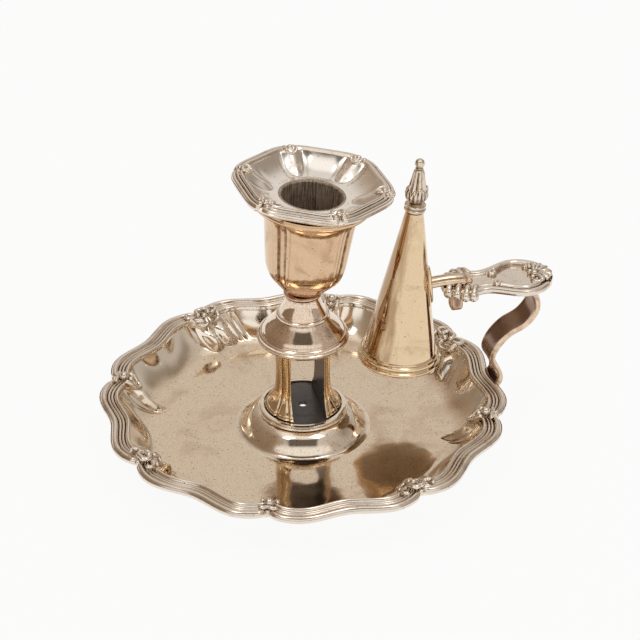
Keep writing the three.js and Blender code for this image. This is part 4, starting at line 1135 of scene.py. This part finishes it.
thumbShell = {
    "hingeFrom": 6.6, "voxel": 0.15, "ribs": 7, "spread": 74, "length": 6.6, "shorter": 0.06, "ribFrom": 1.6,
    "ribLift": 0.7, "crown": 1.0, "ribStart": 0.6, "ribEnd": 1.1, "curlRadius": 1.4, "curlTurns": 1.2,
    "curlOut": 0.2, "curlAside": 5.0, "curlLift": 1.0, "curlDome": 0.5, "curlThick": 0.75, "tail": 1.5,
    "beads": ((0.3, 0, 1.1, 1.4), (-0.8, 1.9, 0.8, 0.95), (-0.8, -1.9, 0.8, 0.95)),
}


def shellRibs(seat, look):
    forms = []
    for share in np.linspace(-1, 1, look["ribs"]):
        angle = math.radians(look["spread"]) * share
        length = look["length"] * (1 - look["shorter"] * share * share)
        along = np.linspace(look["ribFrom"], length, 14)
        lift = look["ribLift"] + look["crown"] * np.sin(math.pi * along / length)
        path = seat(along * math.cos(angle), along * math.sin(angle), lift)
        forms.append(tubeForm(path, look["ribStart"], look["ribEnd"]))
    return forms


def shellCurls(seat, look):  # a pair of volutes with tails that run along the edge
    radius, tail, thick = look["curlRadius"], look["tail"], look["curlThick"]
    line = spiralLine((0, 0), radius, 0.3 * radius, look["curlTurns"], math.pi)
    line = np.vstack((np.linspace((-radius - 0.1 * tail, -tail), line[0], 10)[:-1], line))
    outwards = look["curlOut"] + line[:, 0]
    lift = look["curlLift"] + look["curlDome"] * np.linspace(0, 1, len(line)) ** 2
    return [tubeForm(seat(outwards, side * (look["curlAside"] - line[:, 1]), lift), thick, 0.85 * thick)
            for side in (-1, 1)]


def makeThumbShell():
    hinge = thumbEnd - thumbShell["hingeFrom"]

    def seat(outwards, aside, lift):
        x = hinge + outwards
        half = np.maximum(thumbHalf(np.minimum(x, thumbEnd - 0.2)), 0.3)
        over = np.clip(np.abs(aside) / half - 0.85, 0, None) + np.clip(x - thumbEnd + 1, 0, None)
        height = thumbTop(np.minimum(x, thumbEnd - 0.5), np.clip(aside, -half, half)) + lift - 0.6 * over
        return np.stack((x + 0 * height, aside + 0 * height, height), -1)
    forms = shellRibs(seat, thumbShell) + shellCurls(seat, thumbShell) + beads(seat, thumbShell)
    piece = castPiece("thumb_shell_cast", forms, thumbShell["voxel"])
    dress(piece, "stick", "silver_border", borderSilver, "thumb_shell")


strap = {
    "route": ((54.7, 0.75), (58.3, 4.2), (61.7, 8.9), (67.4, 10.6), (71.3, 14.2), (71.2, 18.2), (68.4, 23.7),
              (69.9, 28.9), (74.2, 33.9), (80.4, 37.6), (84.0, 43.3), (82.4, 50.0), (76.8, 51.75)),
    "thick": 1.8, "edge": 0.3, "lip": 0.35, "lipAt": 0.86, "lipHalf": 0.07,
}


def makeStrap():
    half = span("handle_strap")[1][1]
    thick = strap["thick"]
    route = smoothLine(strap["route"], 10)
    ahead = headings(route)
    aside = np.concatenate(([1.0], np.linspace(0.9, -0.9, 15), [-1.0]))
    fromLip = (np.abs(aside) - strap["lipAt"]) / strap["lipHalf"]
    rim = thick / 2 + strap["lip"] * np.exp(-fromLip ** 2)
    rim[[0, -1]] = strap["edge"] * thick
    upper = np.stack((aside * half, rim), 1)
    lower = np.stack((-aside * half, -np.minimum(rim, thick / 2)), 1)
    section = np.vstack((upper, lower))
    rings = [np.stack((x - dz * section[:, 1], section[:, 0], z + dx * section[:, 1]), 1)
             for (x, z), (dx, dz) in zip(route, ahead)]
    dress(makePiece("handle_strap_bent", sweptForm(rings)), "stick", "worn_gilt", brownStrap, "handle_strap")


makeThumbPlate()
makeThumbReeds()
makeKnuckles()
makeThumbShell()
makeStrap()
print("handle made")


# Extinguisher

extinguisher = {"lean": 4.2, "topRadius": 3.1, "sheet": 1.0, "beadWidth": 1.25}
coneTurn = Matrix.Rotation(math.radians(extinguisher["lean"]), 4, "Y")
coneLow, coneHigh = span("extinguisher_cone", coneTurn)
conePlace = coneTurn @ Matrix.Translation(((coneLow[0] + coneHigh[0]) / 2, 0, coneLow[2]))
coneHeight = coneHigh[2] - coneLow[2]
coneBase = (coneHigh[0] - coneLow[0]) / 2


def coneRadius(height):
    return mix(coneBase, extinguisher["topRadius"], height / coneHeight)


coneBeadLine = (
    (-0.1, 0.02, 0), (0.55, 0.02, 0.3), (1.05, 0.14, 0.5), (1.0, 0.3, 0.5), (0.42, 0.4, 0.12),
    (0.42, 0.46, 0.12), (0.85, 0.56, 0.4), (0.78, 0.72, 0.4), (0.3, 0.8, 0.1), (0.36, 0.88, 0.2),
    (0.12, 1.0, 0.1), (-0.1, 1.0, 0), (-0.1, 0.02, 0),
)


def makeCone():
    sheet = extinguisher["sheet"]
    up = np.linspace(0, coneHeight, 40)
    outside = np.stack((coneRadius(up), up), 1)
    roof = coneHeight - sheet
    inside = [(0, coneHeight), (0, roof), (coneRadius(coneHeight) - 0.6 * sheet, roof),
              (coneBase - sheet, 0.2), (coneBase - 0.5 * sheet, 0), (coneBase, 0)]
    form = turnedForm(np.vstack((outside, inside)), 160)
    piece = makePiece("extinguisher_cone_raised", form, conePlace)
    dress(piece, "extinguisher", "worn_gilt", coneGilt, "extinguisher_cone")
    corners = [corner.co / mm for corner in piece.data.vertices]
    axis = sum(corners, Vector()) / len(corners)
    # painted light: the inside faces are painted pale, so that they and their reflection in the tray look
    # lighter than their shade
    repaint(piece, dullInside, lambda middle, normal: normal.xy.dot((middle - axis).xy) < 0)


def makeConeBead():
    low, high = span("extinguisher_bead", conePlace)
    tall, wide = high[2] - low[2], extinguisher["beadWidth"]
    line = filleted([(coneRadius(h * tall) + w * wide, h * tall, f) for w, h, f in coneBeadLine])
    piece = makePiece("extinguisher_bead_turned", turnedForm(line, 160), conePlace)
    dress(piece, "extinguisher", "worn_gilt", wornGilt, "extinguisher_bead")


finialCollarLine = (
    (0, 0, 0), (0.85, 0, 0.05), (1, 0.14, 0.12), (1, 0.34, 0.12), (0.84, 0.44, 0.03), (0.84, 0.5, 0.03),
    (0.97, 0.58, 0.1), (0.97, 0.78, 0.1), (0.78, 0.88, 0.04), (0.62, 1, 0.03), (0, 1, 0),
)
bud = {
    "line": ((0.0, 0.0), (0.66, 0.0), (0.74, 0.04), (0.86, 0.11), (0.97, 0.2), (1.0, 0.3), (0.95, 0.42),
             (0.86, 0.54), (0.76, 0.66), (0.68, 0.78), (0.62, 0.87), (0.54, 0.94), (0.4, 0.985), (0.0, 1.0)),
    "girth": 0.9, "flutes": 8, "fluteDepth": 0.34, "leaves": 4, "leafTop": 0.5, "leafCleft": 0.55,
    "leafHeight": 0.14, "veins": 4, "veinHeight": 0.05, "round": 0.6,
}
ballLine = (
    (0, -1.15), (0.7, -1.12), (0.78, -1.0), (0.62, -0.88), (0.75, -0.66), (0.93, -0.35), (1.0, 0),
    (0.93, 0.36), (0.72, 0.69), (0.4, 0.92), (0, 1.0),
)


def makeFinialBud():
    low, high = span("finial_bud", conePlace)
    size = radii("finial_bud", conePlace)[1]
    tall = high[2] - low[2]

    def leafy(radius, angle, height):
        up = (height - low[2]) / tall
        ridge = np.abs(np.cos(angle * bud["flutes"] / 2)) ** bud["round"]
        flute = bud["fluteDepth"] * radius * (1 - ridge) * eased(up, 0.25, 0.4) * eased(1 - up, 0, 0.1)
        tip = np.abs(np.cos(angle * bud["leaves"] / 2)) ** bud["round"]
        edge = bud["leafTop"] * mix(bud["leafCleft"], 1, tip)
        leaf = bud["leafHeight"] * size * eased(edge - up, 0, 0.04) * eased(up, 0, 0.08)
        vein = bud["veinHeight"] * size * np.cos(angle * bud["leaves"] * bud["veins"])
        vein = vein * eased(edge - up, 0, 0.1) * eased(up, 0.02, 0.1)
        return radius - flute + leaf + vein, height
    line = smoothLine([(r * bud["girth"] * size, low[2] + h * tall) for r, h in bud["line"]], 6)
    line[:, 0] = np.maximum(line[:, 0], 0)
    piece = makePiece("finial_bud_chased", turnedForm(line, 192, leafy), conePlace)
    dress(piece, "extinguisher", "silver_plate", darkSilver, "finial_bud")


def makeFinialBall():
    low, high = span("finial_ball", conePlace)
    size = (high[2] - low[2]) / 2
    line = smoothLine(ballLine, 6) * size + (0, low[2] + size)
    line[:, 0] = np.maximum(line[:, 0], 0)
    piece = makePiece("finial_ball_turned", turnedForm(line, 72), conePlace)
    dress(piece, "extinguisher", "silver_plate", darkSilver, "finial_ball")


lug = {
    "thick": 0.9, "steps": 64,
    "section": ((0, 1), (0.3, 1), (0.6, 0.98), (0.8, 0.92), (0.92, 0.75), (0.985, 0.45), (1, 0.15),
                (0.98, -0.2), (0.6, -0.2), (0, -0.2)),
}


def makeLug():  # an oval plate bent to the cone, in rows of (share of its size, share of its thickness)
    low, high = span("hook_plate", conePlace)
    half, tall = high[1], (high[2] - low[2]) / 2
    middle = (low[2] + high[2]) / 2
    angle = fullTurn(lug["steps"])
    rows = []
    for share, depth in lug["section"]:
        up = share * tall * np.sin(angle)
        radius = coneRadius(middle + up) + depth * lug["thick"]
        swing = share * half * np.cos(angle) / coneRadius(middle)
        rows.append(np.stack((radius * np.cos(swing), radius * np.sin(swing), middle + up), 1))
    form = np.vstack(rows), gridFaces(len(rows), lug["steps"], False, True)
    piece = makePiece("hook_plate_bent", form, conePlace)
    dress(piece, "extinguisher", "worn_gilt", wornGilt, "hook_plate")


hook = {
    "clear": 0.3, "wider": 0.4, "back": 2.3, "front": 1.0, "roundEnd": 2.4, "arch": 0.5, "steps": 40,
    "reeds": 6, "reedDepth": 0.16, "side": 0.35, "crown": 0.75, "endWidth": 0.35, "endHeight": 0.3,
    "tangHalf": 2.2, "tangLength": 10.6, "tangFrom": 5.2, "tangRound": 0.8, "tangRoot": 1.0,
    "tang": ((0, 1), (0.5, 1), (0.8, 1), (0.9, 0.98), (0.96, 0.9), (0.99, 0.75), (1, 0.5)),
    "roll": 1.35, "rollAt": 0.6, "rollWider": 0.2, "rollHeight": 1.1,
}


def hookBar(low, high, half, base):
    thick = high[2] - base
    turn = np.linspace(0, math.pi, hook["steps"])
    bulge = np.sin(turn) * (1 - hook["reedDepth"] * np.cos(hook["reeds"] * turn))
    top = np.stack((half * np.cos(turn), base + thick * (hook["side"] + hook["crown"] * bulge)), 1)
    section = np.vstack((top, [(-0.8 * half, base + 0.05), (0.8 * half, base + 0.05)]))
    along = np.linspace(low[0] - hook["back"], high[0] + hook["front"], hook["steps"])
    toEnd = np.clip((along[-1] - along) / hook["roundEnd"], 0, 1)
    full = np.sqrt(np.clip(1 - (1 - toEnd) ** 2, 0.02, 1))
    arc = hook["arch"] * np.sin(math.pi * np.linspace(0, 1, hook["steps"]))
    rings = []
    for x, size, rise in zip(along, full, arc):
        y = section[:, 0] * mix(hook["endWidth"], 1, size)
        z = mix(base, section[:, 1], mix(hook["endHeight"], 1, size)) + rise
        rings.append(np.stack((x + 0 * y, y, z), 1))
    return sweptForm(rings)


def hookTang(base):  # square with rounded corners, and narrowed to its tip
    half, corner = hook["tangHalf"], hook["tangRound"]
    square = filleted([(0, -half, 0), (half, -half, corner), (half, half, corner), (-half, half, corner),
                       (-half, -half, corner), (0, -half, 0)])[:-1]
    at, root = thumbStart + hook["tangFrom"], hook["tangRoot"]
    rings = []
    for share, size in hook["tang"]:
        z = base + root - share * (hook["tangLength"] + root)
        rings.append([(at + size * a, size * b, z) for a, b in square])
    return sweptForm(rings)


def makeHook():  # a reeded bar over the thumbpiece, with a tang that drops through the slot
    low, high = span("hook_bar")
    half = (high[1] - low[1]) / 2 + hook["wider"]
    base = thumbHigh[2] + hook["clear"]
    at, up, aside = high[0] + hook["rollAt"], base + hook["rollHeight"], half + hook["rollWider"]
    roll = tubeForm(np.linspace((at, -aside, up), (at, aside, up), 24), hook["roll"], hook["roll"], 16)
    piece = makePiece("hook_bar_reeded", joined([hookBar(low, high, half, base), hookTang(base), roll]))
    dress(piece, "extinguisher", "worn_gilt", hookGilt, "hook_bar")
    repaint(piece, brownStrap, lambda middle, normal: middle.z < base - 0.2)


makeCone()
makeConeBead()
turnedPiece("finial_collar_turned", "finial_collar", finialCollarLine, 96, "extinguisher", "worn_gilt",
            darkSilver, conePlace)
makeFinialBud()
makeFinialBall()
makeLug()
makeHook()
print("extinguisher made, mouth radius", round(coneBase, 2), "mm")


# Studio

view = {"target": (0, 0, 45), "distance": 756, "azimuth": -12.7, "elevation": 32.4, "focal": 2172,
        "frame": 640, "targetAt": (302.8, 325.5), "sensor": 36}


def direction(azimuth, elevation):
    side, up = math.radians(azimuth), math.radians(elevation)
    return Vector((math.sin(side) * math.cos(up), -math.cos(side) * math.cos(up), math.sin(up)))


def makeCamera():
    data = bpy.data.cameras.new("photo_view")
    camera = bpy.data.objects.new("photo_view", data)
    scene.collection.objects.link(camera)
    towards = direction(view["azimuth"], view["elevation"])
    camera.location = (Vector(view["target"]) + view["distance"] * towards) * mm
    camera.rotation_euler = (-towards).to_track_quat("-Z", "Y").to_euler()
    data.sensor_width = view["sensor"]
    data.lens = view["sensor"] * view["focal"] / view["frame"]
    data.shift_x = (view["frame"] / 2 - view["targetAt"][0]) / view["frame"]
    data.shift_y = (view["targetAt"][1] - view["frame"] / 2) / view["frame"]
    scene.camera = camera


floorLook = {"half": 60.0, "white": 0.92, "colour": (0.86, 0.86, 0.86, 1)}


def makeFloor():
    half = floorLook["half"] / mm
    form = np.array([(-half, -half, 0), (half, -half, 0), (half, half, 0), (-half, half, 0)]), [(0, 1, 2, 3)]
    floor = makePiece("studio_floor", form)
    material = bpy.data.materials.new("pale_floor")
    material.use_nodes = True
    tree = material.node_tree
    tree.nodes.clear()
    path = put(tree, "ShaderNodeLightPath").outputs
    seen = calc(tree, "MAXIMUM", path["Is Camera Ray"], path["Is Glossy Ray"])
    seen = calc(tree, "MAXIMUM", seen, path["Is Transmission Ray"])
    matt = put(tree, "ShaderNodeBsdfDiffuse", {"Color": floorLook["colour"]})
    white = put(tree, "ShaderNodeEmission", {"Color": (1, 1, 1, 1), "Strength": 1.0})
    share = calc(tree, "MULTIPLY", seen, floorLook["white"])
    mixed = put(tree, "ShaderNodeMixShader", {0: share, 1: matt.outputs[0], 2: white.outputs[0]})
    tree.links.new(mixed.outputs[0], put(tree, "ShaderNodeOutputMaterial").inputs["Surface"])
    floor.data.materials.append(material)


studio = {
    "sides": ((0.0, (0.26, 0.19, 0.13)), (0.16, (0.37, 0.285, 0.215)), (0.36, (0.66, 0.61, 0.56)),
              (0.46, (0.74, 0.71, 0.67)), (0.64, (0.74, 0.71, 0.68)), (0.84, (0.58, 0.53, 0.49)),
              (1.0, (0.50, 0.45, 0.41))),
    "cards": (  # at an azimuth and elevation, with half sizes as tangents
        {"at": (167, 2), "half": (2.0, 0.17), "soft": 0.09, "glow": (0.27, 0.23, 0.195)},
        {"at": (96, 31), "half": (0.32, 0.2), "soft": 0.17, "glow": (0.33, 0.285, 0.24)},
        {"at": (-12.7, 20), "half": (1.15, 0.5), "soft": 0.2, "glow": (0.97, 0.96, 0.95)},
        {"at": (-12.7, 86), "half": (0.5, 0.28), "soft": 0.15, "glow": (1.0, 0.985, 0.965)},
        {"at": (-12.7, 56), "half": (0.42, 0.2), "soft": 0.06, "glow": (0.15, 0.13, 0.11)},
    ),
    "softboxes": (
        {"name": "left_softbox", "at": (-62, 64, 1500), "size": (0.3, 0.45), "glow": 2.6},
        {"name": "right_softbox", "at": (48, 70, 1500), "size": (0.35, 0.45), "glow": 2.2},
    ),
}


def cardMask(tree, towards, card):  # 1 inside a rectangle of sky round a direction
    ahead = direction(*card["at"])
    side = ahead.cross(Vector((0, 0, 1))).normalized()
    forward = dotted(tree, towards, ahead)
    mask = calc(tree, "GREATER_THAN", forward, 0.05)
    for axis, half in zip((side, side.cross(ahead)), card["half"]):
        away = calc(tree, "ABSOLUTE", calc(tree, "DIVIDE", dotted(tree, towards, axis), forward))
        inside = ranged(tree, away, half - card["soft"], half + card["soft"], 1.0, 0.0)
        mask = calc(tree, "MULTIPLY", mask, inside)
    return mask


def makeStudio():
    world = bpy.data.worlds.new("studio")
    scene.world = world
    world.use_nodes = True
    tree = world.node_tree
    tree.nodes.clear()
    towards = put(tree, "ShaderNodeTexCoord").outputs["Generated"]
    aside = dotted(tree, towards, direction(view["azimuth"] + 90, 0))
    ramp = put(tree, "ShaderNodeValToRGB", {0: calc(tree, "MULTIPLY", calc(tree, "ADD", aside, 1.0), 0.5)})
    stops = ramp.color_ramp.elements
    while len(stops) < len(studio["sides"]):
        stops.new(0.5)
    for stop, (place, glow) in zip(stops, studio["sides"]):
        stop.position = place
        stop.color = (*glow, 1)
    sky = ramp.outputs[0]
    for card in studio["cards"]:
        sky = blended(tree, cardMask(tree, towards, card), sky, (*card["glow"], 1))
    background = put(tree, "ShaderNodeBackground", {"Color": sky, "Strength": 1.0})
    tree.links.new(background.outputs[0], put(tree, "ShaderNodeOutputWorld").inputs["Surface"])
    for box in studio["softboxes"]:
        data = bpy.data.lights.new(box["name"], "AREA")
        data.shape = "RECTANGLE"
        data.size, data.size_y = box["size"]
        data.energy = box["glow"] * math.pi * data.size * data.size_y
        lamp = bpy.data.objects.new(box["name"], data)
        scene.collection.objects.link(lamp)
        azimuth, elevation, distance = box["at"]
        away = direction(azimuth, elevation)
        lamp.location = away * distance * mm
        lamp.rotation_euler = (-away).to_track_quat("-Z", "Y").to_euler()


makeCamera()
makeFloor()
makeStudio()
print("studio made")
